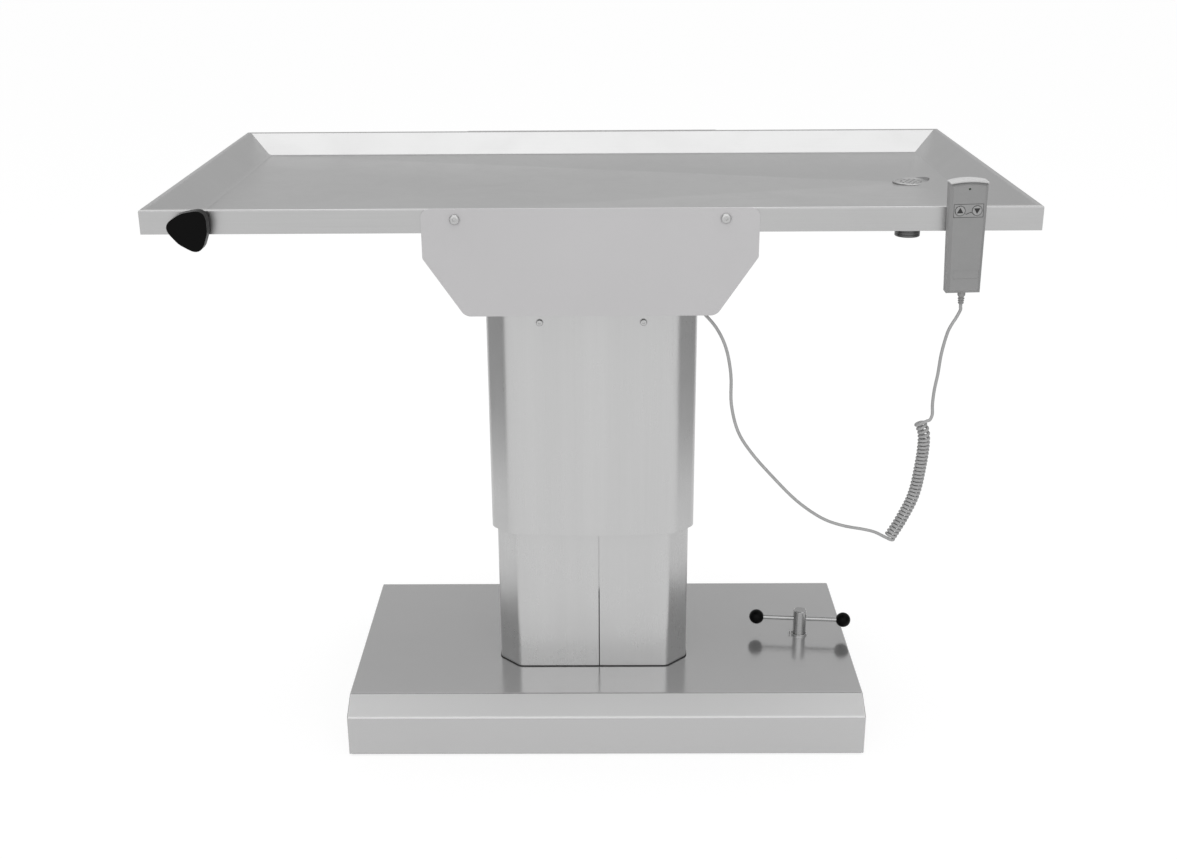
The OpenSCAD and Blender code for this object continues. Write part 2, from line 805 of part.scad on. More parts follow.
// Control box and its gland
module control_box() {
    color([0.3, 0.3, 0.31]) translate([box_x0, -apron_y, box_z0]) cube(box_size);
}
module cable_gland() {
    face = box_x0 + box_size.x;
    color([0.12, 0.12, 0.12]) translate([0, gland_y, gland_z]) {
        rod_x(gland_d, face, face + gland_l / 2);
        rod_x(gland_d * 0.66, face, face + gland_l);
    }
}

// Cords
module cord_lower() {
    color([0.75, 0.75, 0.75]) tube(lower_line, cord_d, 8, [0, 1, 0]);
}
module curly_cord() {
    color([0.75, 0.75, 0.75]) tube(curl_line, cord_d, 6, axis_dir(0));
}
module cord_upper() {
    color([0.75, 0.75, 0.75]) tube(upper_line, cord_d, 8, [0, 1, 0]);
}

// Handset
module in_handset() {
    translate([handset_x, 0, handset_z]) rotate([0, handset_lean, 0]) children();
}
// Height of the arched top at a share of the half width
function arch_z(share, rise) = handset_h / 2 + rise * (1 - share * share);
arch_shares = [-1, -0.75, -0.5, -0.25, 0, 0.25, 0.5, 0.75, 1];
module handset_outline(inset) {
    top = handset_top_w / 2 - inset;
    foot = handset_foot_w / 2 - inset;
    polygon(concat(
        [[foot, -handset_h / 2 + inset], [-foot, -handset_h / 2 + inset]],
        [for (s = arch_shares) [s * top, arch_z(s, arch) - inset]]
    ));
}
module handset_half(y0, y1, open_y0, open_y1) {
    difference() {
        upright(y0, y1 - y0) handset_outline(0);
        upright(open_y0, open_y1 - open_y0) handset_outline(handset_wall);
    }
}
module handset_front() {
    front = handset_front_y;
    color([0.62, 0.62, 0.62]) in_handset() difference() {
        hull() {
            upright(front, bevel / 2) handset_outline(bevel);
            upright(front + bevel, handset_mid_y - front - bevel) handset_outline(0);
        }
        upright(front + handset_wall, handset_mid_y - front) handset_outline(bevel + handset_wall);
        block(-window_w / 2, window_w / 2, front - overrun, front + window_deep, window_z - window_h / 2,
            window_z + window_h / 2);
        for (side = [-1, 1]) translate([side * button_gap / 2, 0, window_z])
            rod_y(button_d + loose, front - overrun, front + handset_wall + overrun);
        translate([0, 0, handset_h / 2 - 2 * light_d])
            rod_y(light_d + running, front - overrun, front + 2 * handset_wall);
    }
}
module handset_back() {
    color([0.6, 0.6, 0.6]) in_handset()
        handset_half(handset_mid_y, handset_back_y, handset_mid_y - overrun, handset_back_y - handset_wall);
}
module handset_cap() {
    top = handset_top_w / 2;
    y0 = handset_front_y;
    color([0.8, 0.8, 0.8]) in_handset() upright(y0, handset_back_y - y0) polygon(concat(
        [for (s = arch_shares) [s * top, arch_z(s, arch)]],
        [for (s = arch_shares) [-s * (top + cap_proud), arch_z(s, arch + cap_h / 3) + cap_h * 2 / 3]]
    ));
}
module handset_hook() {
    y0 = handset_back_y;
    edge = -apron_y + rim_width;
    drop = hook_reach / wall_slope;
    lift = hook_sheet * 1.2;
    color([0.7, 0.71, 0.72]) translate([handset_x - hook_w / 2, 0, rim_height + slip])
        rotate([90, 0, 90]) linear_extrude(hook_w) polygon([
            [y0, 0], [edge, 0], [edge + hook_reach, -drop],
            [edge + hook_reach + hook_sheet / 2, -drop + hook_sheet], [edge + hook_sheet / 2, lift],
            [y0 + hook_sheet, lift], [y0 + hook_sheet, 8 * hook_sheet],
            [y0, 8 * hook_sheet]
        ]);
}
module button_panel() {
    front = handset_front_y;
    panel_h = window_deep - running;
    color([0.66, 0.66, 0.66]) in_handset() difference() {
        block(-window_w / 2 + running, window_w / 2 - running, front + window_deep - panel_h,
            front + window_deep, window_z - window_h / 2 + running, window_z + window_h / 2 - running);
        for (side = [-1, 1]) translate([side * button_gap / 2, 0, window_z])
            rod_y(button_d + loose, front - overrun, front + handset_wall);
    }
}
module push_button(side) {
    front = handset_front_y;
    seat = front + handset_wall + slip - running;
    color([0.7, 0.7, 0.7]) in_handset() translate([side * button_gap / 2, 0, window_z]) {
        rod_y(button_d, front - button_proud, seat + button_flange_h);
        rod_y(button_d + 2 * button_flange_w, seat, seat + button_flange_h);
    }
}
module up_button() {
    push_button(-1);
}
module down_button() {
    push_button(1);
}
module status_light() {
    color([0.2, 0.25, 0.2]) in_handset() translate([0, 0, handset_h / 2 - 2 * light_d])
        rod_y(light_d, handset_front_y - running, handset_front_y + 2 * handset_wall);
}
module strain_relief() {
    color([0.6, 0.6, 0.6]) in_handset() translate([0, handset_mid_y, -handset_h / 2 - relief_h]) {
        rotate_extrude() polygon([
            [0, 0], [relief_end_d / 2, 0], [relief_end_d / 2, relief_h / 2],
            [relief_top_d / 2, relief_h * 0.7], [relief_top_d / 2, relief_h], [0, relief_h]
        ]);
        for (k = [0 : 2]) translate([0, 0, rib_step + rib_pitch * k])
            cylinder(d = relief_end_d + 2 * rib_step + rib_step * k, h = rib_h);
    }
}

// Tie-down knob with three lobes
module in_knob() {
    translate([knob_x, 0, knob_z]) children();
}
module tie_knob() {
    color([0.03, 0.03, 0.03]) in_knob() difference() {
        union() {
            translate([0, knob_back - knob_boss_h - knob_h, 0]) rotate([-90, 0, 0]) linear_extrude(knob_h)
                hull() for (k = [0 : 2]) rotate(lobe_turn + 120 * k) translate([knob_reach - lobe_r, 0])
                    circle(lobe_r, $fn = 32);
            rod_y(knob_boss_d, knob_back - knob_boss_h, knob_back);
        }
        rod_y(knob_stud_d, knob_back - knob_h * 0.7, knob_back + overrun);
    }
}
module knob_stud() {
    end = -apron_y + tray_sheet + bush_l + stud_past;
    color([0.7, 0.7, 0.7]) in_knob() rod_y(knob_stud_d, knob_back - knob_h * 0.7, end);
}
module clamp_disc() {
    color([0.65, 0.66, 0.67]) in_knob() difference() {
        rod_y(disc_d, knob_back + slip, knob_back + slip + disc_h);
        rod_y(knob_stud_d + running, knob_back, knob_back + slip + disc_h + overrun);
    }
}
module stud_bush() {
    color([0.72, 0.55, 0.3]) in_knob() difference() {
        union() {
            rod_y(bush_d, -apron_y, -apron_y + tray_sheet + bush_l);
            rod_y(bush_d + 2 * bush_rim_w, -apron_y + tray_sheet, -apron_y + tray_sheet + bush_rim_h);
        }
        rod_y(knob_stud_d + running, -apron_y - overrun, -apron_y + tray_sheet + bush_l + overrun);
    }
}

// Head of the column, which carries the tilt shaft
module tilt_shaft() {
    collar_y = saddle_out + slip;
    color([0.7, 0.71, 0.72]) translate([0, 0, pivot_z]) {
        rod_y(shaft_d, -collar_y - collar_h, collar_y + collar_h);
        both_sides() rod_y(collar_d, -collar_y - collar_h, -collar_y);
    }
}
module clamp_lever() {
    grip = lever_ball_d / 2;
    color([0.08, 0.08, 0.08]) translate([0, 0, pivot_z - slot_r]) difference() {
        union() {
            rod_y(hub_d, quadrant_out + slip, hub_end);
            translate([0, lever_y, 0]) rod_x(clamp_d, 0, lever_length);
            translate([lever_length, lever_y, 0]) sphere(d = lever_ball_d);
        }
        rod_y(clamp_d + running, quadrant_out, hub_end + overrun);
    }
}
// Part of the sleeve's bore that a rectangle covers, so that what is in it seats on the sleeve
module in_sleeve(inset, length, h) {
    linear_extrude(h) intersection() {
        difference() {
            sleeve_outline(column_sheet);
            if (inset > 0) sleeve_outline(column_sheet + inset);
        }
        for (side = inset > 0 ? [-1, 1] : [0]) translate([side * screw_x, 0])
            square([length, sleeve_depth], center = true);
    }
}
module head_frame() {
    color([0.6, 0.61, 0.62]) difference() {
        union() {
            translate([0, 0, head_under]) in_sleeve(0, head_length, head_plate_h);
            translate([0, 0, head_under - tab_h]) in_sleeve(tab_sheet, tab_w, tab_h);
            both_sides() upright(-cheek_out, cheek_sheet) hull() {
                translate([-cheek_half, head_top]) square([2 * cheek_half, head_plate_h]);
                translate([0, pivot_z]) circle(boss_r, $fn = 32);
            }
            translate([0, 0, pivot_z - slot_r]) {
                rod_y(clamp_d, cheek_out, hub_end + slip);
                rod_y(stud_boss_d, cheek_out, saddle_out - slip);
                rod_y(stud_boss_d, hub_end + slip, hub_end + slip + stud_cap_h);
            }
        }
        translate([0, 0, pivot_z]) rod_y(shaft_d, -saddle_in, saddle_in);
        for (side = [-1, 1]) translate([side * screw_x, 0, screw_z])
            rod_y(screw_d, -sleeve_depth, sleeve_depth);
    }
}
module sleeve() {
    color([0.8, 0.81, 0.81]) difference() {
        translate([0, 0, sleeve_z]) linear_extrude(sleeve_height) difference() {
            sleeve_outline(0);
            sleeve_outline(column_sheet);
        }
        for (side = [-1, 1]) translate([side * screw_x, 0, screw_z])
            rod_y(screw_d + loose, -sleeve_depth, sleeve_depth);
    }
}
module sleeve_screws() {
    seat_x = screw_x - screw_head_d / 2;
    face = sleeve_depth / 2 - bow_r + sqrt(bow_r * bow_r - seat_x * seat_x);
    color([0.6, 0.6, 0.6]) both_sides() for (side = [-1, 1]) translate([side * screw_x, 0, screw_z]) {
        rod_y(screw_d, -face, -face + screw_l);
        rod_y(screw_head_d, -face - screw_head_h, -face);
    }
}

// Lifting column
module square_tube(width, wall, z0, z1) {
    difference() {
        block(-width / 2, width / 2, -width / 2, width / 2, z0, z1);
        block(-width / 2 + wall, width / 2 - wall, -width / 2 + wall, width / 2 - wall, z0 - overrun,
            z1 + overrun);
    }
}
module upper_mast() {
    color([0.66, 0.67, 0.68]) square_tube(mast_inner_width, mast_wall, mast_end, head_under);
}
module lower_mast() {
    color([0.5, 0.51, 0.52]) {
        square_tube(mast_width, mast_wall, floor_plate + mast_foot_h, mast_top);
        block(-mast_foot_w / 2, mast_foot_w / 2, -mast_foot_w / 2, mast_foot_w / 2, floor_plate,
            floor_plate + mast_foot_h);
    }
}
module glide_pads() {
    wall = mast_width / 2 - mast_wall;
    top = mast_top - glide_drop;
    color([0.9, 0.9, 0.88]) for (k = [0 : 3]) rotate(90 * k)
        block(wall - glide_sheet, wall, -glide_w / 2, glide_w / 2, top - glide_length, top);
}
module column_half(x0, x1) {
    intersection() {
        translate([0, 0, floor_plate]) linear_extrude(column_top - floor_plate) difference() {
            column_outline(0);
            column_outline(-column_sheet);
        }
        block(x0, x1, -column_depth, column_depth, 0, column_top + overrun);
    }
}
module column_shell_left() {
    color([0.78, 0.79, 0.79]) {
        column_half(-column_width, seam_x - running);
        both_sides() block(seam_x - seam_lap, seam_x + seam_lap, -column_depth / 2 + column_sheet,
            -column_depth / 2 + 2 * column_sheet, floor_plate, column_top);
    }
}
module column_shell_right() {
    color([0.78, 0.79, 0.79]) column_half(seam_x + running, column_width);
}
module column_seal() {
    color([0.1, 0.1, 0.1]) translate([0, 0, base_height]) linear_extrude(seal_h) difference() {
        column_outline(seal_w);
        column_outline(0);
    }
}
module actuator_body() {
    color([0.35, 0.36, 0.38]) difference() {
        union() {
            translate([-gearbox.x / 2, -gearbox.y / 2, gearbox_z]) cube(gearbox);
            translate([rod_x, 0, tube_z]) cylinder(d = actuator_d, h = tube_top - tube_z);
        }
        translate([rod_x, 0, tube_z])
            cylinder(d = actuator_d - 4 * column_sheet, h = tube_top - gland_h - tube_z);
        translate([rod_x, 0, tube_z]) cylinder(d = rod_d + running, h = tube_top - tube_z + overrun);
    }
}
module actuator_motor() {
    color([0.12, 0.12, 0.13]) translate([motor_x, 0, tube_z]) cylinder(d = motor_d, h = motor_height);
}
module actuator_rod() {
    color([0.8, 0.8, 0.81]) translate([rod_x, 0, rod_end]) cylinder(d = rod_d, h = head_under - rod_end);
}

// Base
module base_outline(inset) {
    y = base_width / 2 - inset;
    top = base_height - inset;
    polygon([
        [-y, skirt_gap], [-y, base_height - band_drop - inset / 2], [-y + band_run - inset / 2, top],
        [y - band_run + inset / 2, top], [y, base_height - band_drop - inset / 2], [y, skirt_gap]
    ]);
}
module base_cover() {
    color([0.66, 0.66, 0.66]) difference() {
        translate([base_x0, 0, 0]) rotate([90, 0, 90]) linear_extrude(base_length) base_outline(0);
        translate([base_x0 + cover_sheet, 0, 0]) rotate([90, 0, 90])
            linear_extrude(base_length - 2 * cover_sheet) base_outline(cover_sheet);
        block(base_x0 + cover_sheet, base_x1 - cover_sheet, -base_width / 2 + cover_sheet,
            base_width / 2 - cover_sheet, 0, skirt_gap + overrun);
        translate([0, 0, cover_top - overrun])
            linear_extrude(cover_sheet + 2 * overrun) column_outline(loose);
        translate([jack_x, 0, cover_top - overrun])
            cylinder(d = jack_post_d + 2 * loose, h = cover_sheet + 2 * overrun);
        block(inlet_x - inlet_w / 2, inlet_x + inlet_w / 2, 0, base_width, inlet_z - inlet_h / 2,
            inlet_z + inlet_h / 2);
    }
}
module base_frame() {
    edge = cover_sheet + frame_gap;
    y = base_width / 2 - edge;
    post_y = carrier_end;
    slot_x = wheel_d / 2 - overrun;
    slot_y = wheel_w / 2 + overrun;
    posts = [[-mast_foot_w, post_y], [mast_foot_w, post_y], [-mast_foot_w, -post_y], [mast_foot_w, -post_y],
        [base_x0 + 2 * post_d, 0], [base_x1 - 1.5 * post_d, 0]];
    color([0.35, 0.36, 0.37]) {
        difference() {
            block(base_x0 + edge, base_x1 - edge, -y, y, 0, floor_plate);
            both_sides() {
                translate([jack_x, castor_y, -overrun])
                    cylinder(r = castor_hole_r, h = floor_plate + 2 * overrun);
                block(roller_x - slot_x, roller_x + slot_x, castor_y - slot_y, castor_y + slot_y, -overrun,
                    floor_plate + overrun);
            }
        }
        for (p = posts) translate([p.x, p.y, floor_plate]) cylinder(d = post_d, h = cover_top - floor_plate);
        both_sides() translate([jack_x, guide_y, floor_plate])
            cylinder(d = guide_d, h = bridge_z - floor_plate);
        translate([jack_x, 0, floor_plate]) difference() {
            cylinder(d = pivot_boss_d, h = pivot_boss_h);
            cylinder(d = jack_tip_d + running, h = pivot_boss_h + overrun);
        }
    }
}
module mains_inlet() {
    face = base_width / 2;
    well = [inlet_w - 2 * inlet_wall, inlet_depth, inlet_h - 2 * inlet_wall];
    pin = [2, 15, 4];
    pins = [[-7, -2], [0, 2], [7, -2]];
    color([0.08, 0.08, 0.08]) translate([inlet_x, face, inlet_z]) {
        difference() {
            union() {
                translate([-inlet_flange.x / 2, 0, -inlet_flange.z / 2]) cube(inlet_flange);
                block(-inlet_w / 2 + running, inlet_w / 2 - running, -inlet_depth, 0, -inlet_h / 2 + running,
                    inlet_h / 2 - running);
            }
            block(-well.x / 2, well.x / 2, -inlet_depth + 2 * inlet_wall, inlet_flange.y + overrun,
                -well.z / 2, well.z / 2);
        }
        for (p = pins) translate([p[0] - pin.x / 2, -inlet_depth + 2 * inlet_wall, p[1] - pin.z / 2])
            cube(pin);
    }
}

// Jack
module jack_screw() {
    color([0.7, 0.71, 0.72]) translate([jack_x, 0, 0]) difference() {
        union() {
            translate([0, 0, floor_plate + slip]) cylinder(d = jack_tip_d, h = pivot_boss_h + slip);
            translate([0, 0, floor_plate + pivot_boss_h + slip])
                cylinder(d = jack_thread_d, h = jack_collar_z - floor_plate - pivot_boss_h - slip);
            translate([0, 0, jack_collar_z]) cylinder(d = jack_collar_d, h = jack_collar_h);
            translate([0, 0, jack_collar_z])
                cylinder(d = jack_post_d, h = base_height + jack_post_h - jack_collar_z);
        }
        translate([0, 0, bar_z]) rotate(bar_turn) rod_x(bar_d, -jack_post_d, jack_post_d);
    }
}
module jack_bridge() {
    color([0.4, 0.41, 0.42]) translate([jack_x, 0, bridge_z]) difference() {
        block(-bridge_w / 2, bridge_w / 2, -guide_y - guide_d, guide_y + guide_d, 0, bridge_h);
        translate([0, 0, -overrun]) cylinder(d = jack_post_d + running, h = bridge_h + 2 * overrun);
    }
}
module handle_bar() {
    color([0.75, 0.76, 0.77]) translate([jack_x, 0, bar_z]) rotate(bar_turn)
        rod_x(bar_d, -bar_length / 2, bar_length / 2);
}
module handle_balls() {
    color([0.03, 0.03, 0.03]) translate([jack_x, 0, bar_z]) rotate(bar_turn) for (half = [0, 180])
        rotate(half) translate([bar_length / 2, 0, 0]) difference() {
            sphere(d = ball_d);
            rod_x(bar_d + 2 * slip, -ball_d, slip);
        }
}
module handle_collar() {
    color([0.6, 0.6, 0.6]) translate([jack_x, 0, base_height]) difference() {
        union() {
            cylinder(d = jack_post_d + 2 * escutcheon_w, h = escutcheon_h);
            translate([-jack_post_d / 2 - escutcheon_w - ear_d / 4, 0, 0])
                cylinder(d = ear_d, h = 2 * escutcheon_h);
        }
        translate([0, 0, -overrun]) cylinder(d = jack_post_d + 2 * slip, h = 2 * escutcheon_h + 2 * overrun);
    }
}
module castor_carrier() {
    color([0.42, 0.43, 0.44]) translate([jack_x, 0, carrier_z]) difference() {
        union() {
            block(-carrier_w / 2, carrier_w / 2, -carrier_end, carrier_end, 0, carrier_h);
            translate([0, 0, -nut_boss_h]) cylinder(d = nut_boss_d, h = nut_boss_h);
        }
        translate([0, 0, -nut_boss_h - overrun])
            cylinder(d = jack_thread_d + running, h = nut_boss_h + carrier_h + 2 * overrun);
        both_sides() {
            translate([0, guide_y, -overrun])
                cylinder(d = guide_d + 2 * running, h = carrier_h + 2 * overrun);
            translate([0, castor_y, -overrun])
                cylinder(d = kingpin_d + running, h = carrier_h + 2 * overrun);
        }
    }
}
module castor_fork() {
    half = wheel_w / 2 + wheel_gap;
    color([0.68, 0.69, 0.7]) translate([jack_x, -castor_y, 0]) {
        translate([0, 0, crown_z]) cylinder(d = crown_d, h = crown_h);
        translate([0, 0, crown_z]) cylinder(d = kingpin_d, h = carrier_top + slip - crown_z);
        translate([0, 0, carrier_top + slip]) cylinder(d = kingpin_head_d, h = kingpin_head_h);
        both_sides() upright(half, bracket_sheet) hull() {
            translate([-castor_trail * 0.6, crown_z]) square([castor_trail * 1.2, crown_h / 2]);
            translate([-castor_trail, castor_axle_z]) circle(axle_d, $fn = 32);
        }
        translate([-castor_trail, 0, castor_axle_z])
            rod_y(axle_d, -half - bracket_sheet, half + bracket_sheet);
    }
}
module castor_fork_front() {
    castor_fork();
}
module castor_fork_rear() {
    mirror([0, 1, 0]) castor_fork();
}
module wheel(x, y, z) {
    color([0.15, 0.15, 0.16]) translate([x, y, z]) difference() {
        rod_y(wheel_d, -wheel_w / 2, wheel_w / 2);
        rod_y(axle_d + running, -wheel_w, wheel_w);
    }
}
module castor_wheel_front() {
    wheel(jack_x - castor_trail, -castor_y, castor_axle_z);
}
module castor_wheel_rear() {
    wheel(jack_x - castor_trail, castor_y, castor_axle_z);
}
module roller_brackets() {
    half = wheel_w / 2 + wheel_gap;
    long = wheel_d * 0.8;
    color([0.68, 0.69, 0.7]) both_sides() translate([roller_x, castor_y, 0]) {
        both_sides() block(-long / 2, long / 2, half, half + bracket_sheet, floor_plate,
            roller_axle_z + axle_d);
        translate([0, 0, roller_axle_z]) rod_y(axle_d, -half - bracket_sheet, half + bracket_sheet);
    }
}
module roller_wheel_front() {
    wheel(roller_x, -castor_y, roller_axle_z);
}
module roller_wheel_rear() {
    wheel(roller_x, castor_y, roller_axle_z);
}

tray();
side_plate_front();
side_plate_rear();
side_plate_bolts();
cross_channels();
saddle_plates();
tilt_bushes();
tilt_quadrant();
drain_body();
drain_gasket();
drain_locknut();
drain_strainer();
control_box();
cable_gland();
cord_lower();
curly_cord();
cord_upper();
handset_front();
handset_back();
handset_cap();
handset_hook();
button_panel();
up_button();
down_button();
status_light();
strain_relief();
tie_knob();
knob_stud();
clamp_disc();
stud_bush();
tilt_shaft();
clamp_lever();
head_frame();
sleeve();
sleeve_screws();
upper_mast();
lower_mast();
glide_pads();
column_shell_left();
column_shell_right();
column_seal();
actuator_body();
actuator_motor();
actuator_rod();
base_cover();
base_frame();
mains_inlet();
jack_screw();
jack_bridge();
handle_bar();
handle_balls();
handle_collar();
castor_carrier();
castor_fork_front();
castor_fork_rear();
castor_wheel_front();
castor_wheel_rear();
roller_brackets();
roller_wheel_front();
roller_wheel_rear();
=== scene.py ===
import bpy
import bmesh
import math
from mathutils import Matrix, Vector
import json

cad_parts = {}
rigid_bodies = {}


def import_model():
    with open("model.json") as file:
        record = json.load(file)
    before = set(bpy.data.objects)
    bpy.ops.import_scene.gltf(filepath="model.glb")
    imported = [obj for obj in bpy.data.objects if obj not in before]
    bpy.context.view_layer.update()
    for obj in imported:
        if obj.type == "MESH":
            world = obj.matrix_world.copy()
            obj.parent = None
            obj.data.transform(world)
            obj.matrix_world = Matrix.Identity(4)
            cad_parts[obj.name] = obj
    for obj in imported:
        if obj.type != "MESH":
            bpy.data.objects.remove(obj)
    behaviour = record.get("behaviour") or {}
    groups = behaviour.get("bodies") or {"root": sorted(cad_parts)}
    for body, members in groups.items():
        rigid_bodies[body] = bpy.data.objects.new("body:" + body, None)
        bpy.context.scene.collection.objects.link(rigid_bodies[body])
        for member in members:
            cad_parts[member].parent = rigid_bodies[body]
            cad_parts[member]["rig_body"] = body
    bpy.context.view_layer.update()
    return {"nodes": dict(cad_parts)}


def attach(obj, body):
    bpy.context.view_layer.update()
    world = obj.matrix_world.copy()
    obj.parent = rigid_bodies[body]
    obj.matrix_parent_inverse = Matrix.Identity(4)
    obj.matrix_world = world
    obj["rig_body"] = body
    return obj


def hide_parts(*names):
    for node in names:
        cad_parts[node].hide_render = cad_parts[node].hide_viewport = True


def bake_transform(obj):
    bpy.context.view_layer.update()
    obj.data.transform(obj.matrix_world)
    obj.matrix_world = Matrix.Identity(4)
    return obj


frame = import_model()

# Studio and camera
# A pale floor and a pale surround, one wide softbox overhead, one in front, and two grey
# screens beside the table that only its polished bends can see.
scene = bpy.context.scene
scene.view_settings.view_transform = "Standard"


class Value:
    """A socket that can stand in a sum: each sign adds its Math node."""

    def __init__(self, look, socket):
        self.look = look
        self.socket = socket

    def maths(self, operation, first, second):
        return self.look.node("ShaderNodeMath", {"operation": operation}, {0: first, 1: second})

    def __add__(self, other):
        return self.maths("ADD", self, other)

    def __radd__(self, other):
        return self.maths("ADD", other, self)

    def __sub__(self, other):
        return self.maths("SUBTRACT", self, other)

    def __rsub__(self, other):
        return self.maths("SUBTRACT", other, self)

    def __mul__(self, other):
        return self.maths("MULTIPLY", self, other)

    def __rmul__(self, other):
        return self.maths("MULTIPLY", other, self)

    def __abs__(self):
        return self.maths("ABSOLUTE", self, 0)

    def __lt__(self, other):
        return self.maths("LESS_THAN", self, other)


class Look:
    """A material or a world, with one method that adds any node to it."""

    def __init__(self, owner):
        owner.use_nodes = True
        self.owner = owner
        self.tree = owner.node_tree
        self.tree.nodes.clear()

    def node(self, kind, settings=None, inputs=None, output=0):
        made = self.tree.nodes.new(kind)
        for name, value in (settings or {}).items():
            if name == "stops":
                for k, (place, tone) in enumerate(value):
                    if k > 1:
                        made.color_ramp.elements.new(place)
                    made.color_ramp.elements[k].position = place
                    made.color_ramp.elements[k].color = (tone, tone, tone, 1)
            else:
                setattr(made, name, value)
        for name, value in (inputs or {}).items():
            if isinstance(value, Value):
                self.tree.links.new(value.socket, made.inputs[name])
            else:
                made.inputs[name].default_value = value
        return Value(self, made.outputs[output]) if len(made.outputs) else made

    def between(self, share, low, high):
        """A colour from low to high."""
        return self.node("ShaderNodeMix", {"data_type": "RGBA"}, {0: share, 6: low, 7: high}, 2)

    def ramp(self, value, *stops):
        """A value through a ramp of (place, brightness) stops."""
        return self.node("ShaderNodeValToRGB", {"stops": stops}, {"Fac": value})

    def place(self):
        """Places on the piece, in metres."""
        return self.node("ShaderNodeTexCoord", output="Object")

    def noise(self, place, scale, detail=2, roughness=0.5, distortion=0):
        return self.node("ShaderNodeTexNoise", {}, {"Vector": place, "Scale": scale, "Detail": detail,
            "Roughness": roughness, "Distortion": distortion})

    def bump(self, height, strength, distance):
        return self.node("ShaderNodeBump", {}, {"Strength": strength, "Distance": distance, "Height": height})

    def surface(self, values):
        """Ends the material in a surface with these values."""
        self.node("ShaderNodeOutputMaterial", {}, {"Surface": self.node("ShaderNodeBsdfPrincipled", {}, values)})


def grey(tone):
    return (tone, tone, tone, 1)


surround = Look(bpy.data.worlds.new("surround"))
scene.world = surround.owner
rays = [surround.node("ShaderNodeLightPath", output=name) for name in ("Is Camera Ray", "Is Glossy Ray")]
height = surround.node("ShaderNodeSeparateXYZ", {}, {0: surround.node("ShaderNodeTexCoord", output="Generated")}, "Z")
backdrop = surround.ramp(height * 0.5 + 0.5, (0, 0.98), (1, 0.8), (0.47, 0.98), (0.53, 0.82), (0.62, 0.6),
    (0.75, 0.56), (0.88, 0.8))
lit = surround.between(rays[1], grey(0.62), backdrop)
shown = surround.between(rays[0], lit, grey(1))
surround.node("ShaderNodeOutputWorld", {}, {"Surface": surround.node("ShaderNodeBackground", {}, {"Color": shown})})

floor_look = Look(bpy.data.materials.new("studio_floor"))
seen = floor_look.node("ShaderNodeLightPath", output="Is Camera Ray")
mirrored = floor_look.node("ShaderNodeLightPath", output="Is Glossy Ray")
paper = floor_look.node("ShaderNodeBsdfDiffuse", {}, {"Color": grey(0.8)})
glow = floor_look.node("ShaderNodeEmission", {}, {"Color": grey(1), "Strength": 1.0})
white = floor_look.node("ShaderNodeMixShader", {}, {0: (seen + mirrored) * 0.7, 1: paper, 2: glow})
both = floor_look.node("ShaderNodeAddShader", {}, {0: white, 1: floor_look.node(
    "ShaderNodeEmission", {}, {"Color": grey(1), "Strength": seen * 0.14})})
floor_look.node("ShaderNodeOutputMaterial", {}, {"Surface": both})
bpy.ops.mesh.primitive_plane_add(size=60, location=(0, 0, 0))
floor = bpy.context.object
floor.name = "studio_floor"
floor.data.materials.append(floor_look.owner)

for name, place, turn, size, power in (
        ("overhead_softbox", (0, 0.2, 3.4), (0, 0, 0), (3.6, 2.6), 27),
        ("front_softbox", (0, -4.6, 2.6), (math.radians(62), 0, 0), (7.0, 3.6), 62)):
    bpy.ops.object.light_add(type="AREA", location=place, rotation=turn)
    lamp = bpy.context.object
    lamp.name = name
    lamp.data.shape = "RECTANGLE"
    lamp.data.size, lamp.data.size_y = size
    lamp.data.energy = power

screen_look = Look(bpy.data.materials.new("studio_screen"))
screen_look.node("ShaderNodeOutputMaterial", {}, {"Surface": screen_look.node(
    "ShaderNodeEmission", {}, {"Color": grey(1), "Strength": 0.36})})
for side in (-1, 1):
    bpy.ops.mesh.primitive_plane_add(size=1, location=(side * 1.35, 0, 0.42), rotation=(0, math.pi / 2, 0))
    screen = bpy.context.object
    screen.name = "studio_screen"
    screen.scale = (0.84, 1.5, 1)
    screen.data.materials.append(screen_look.owner)
    for kind in ("camera", "diffuse", "transmission", "volume_scatter", "shadow"):
        setattr(screen, "visible_" + kind, False)

yaw, pitch, roll = -0.00819, 0.35633, 0.00663
forward = Vector((math.sin(yaw) * math.cos(pitch), math.cos(yaw) * math.cos(pitch), -math.sin(pitch)))
level = Vector((math.cos(yaw), -math.sin(yaw), 0))
down = forward.cross(level)
right = math.cos(roll) * level + math.sin(roll) * down
below = math.cos(roll) * down - math.sin(roll) * level
bpy.ops.object.camera_add(location=(0.011706, -2.246713, 1.302589))
camera = bpy.context.object
camera.matrix_world = Matrix.Translation(camera.location) @ Matrix((right, -below, -forward)).transposed().to_4x4()
camera.data.lens = 44.887
camera.data.sensor_width = 36
scene.camera = camera

# Cord of the handset
# Pale grey flexible cord: straight from the gland under the tray, wound into curls that
# hang from the handset, and straight again to the handset's strain relief.
cord_d = 0.0045


def smooth_line(route, steps):
    """Points on the curve through the route, with so many steps between two of its points."""
    ends = [2 * route[0] - route[1]] + route + [2 * route[-1] - route[-2]]
    line = []
    for a, b, c, d in zip(ends, ends[1:], ends[2:], ends[3:]):
        for t in (k / steps for k in range(steps)):
            line.append(0.5 * (2 * b + (c - a) * t + (2 * a - 5 * b + 4 * c - d) * t * t
                + (3 * b - a - 3 * c + d) * t ** 3))
    return line + [route[-1]]


def points(*places):
    return [Vector(place) / 1000 for place in places]


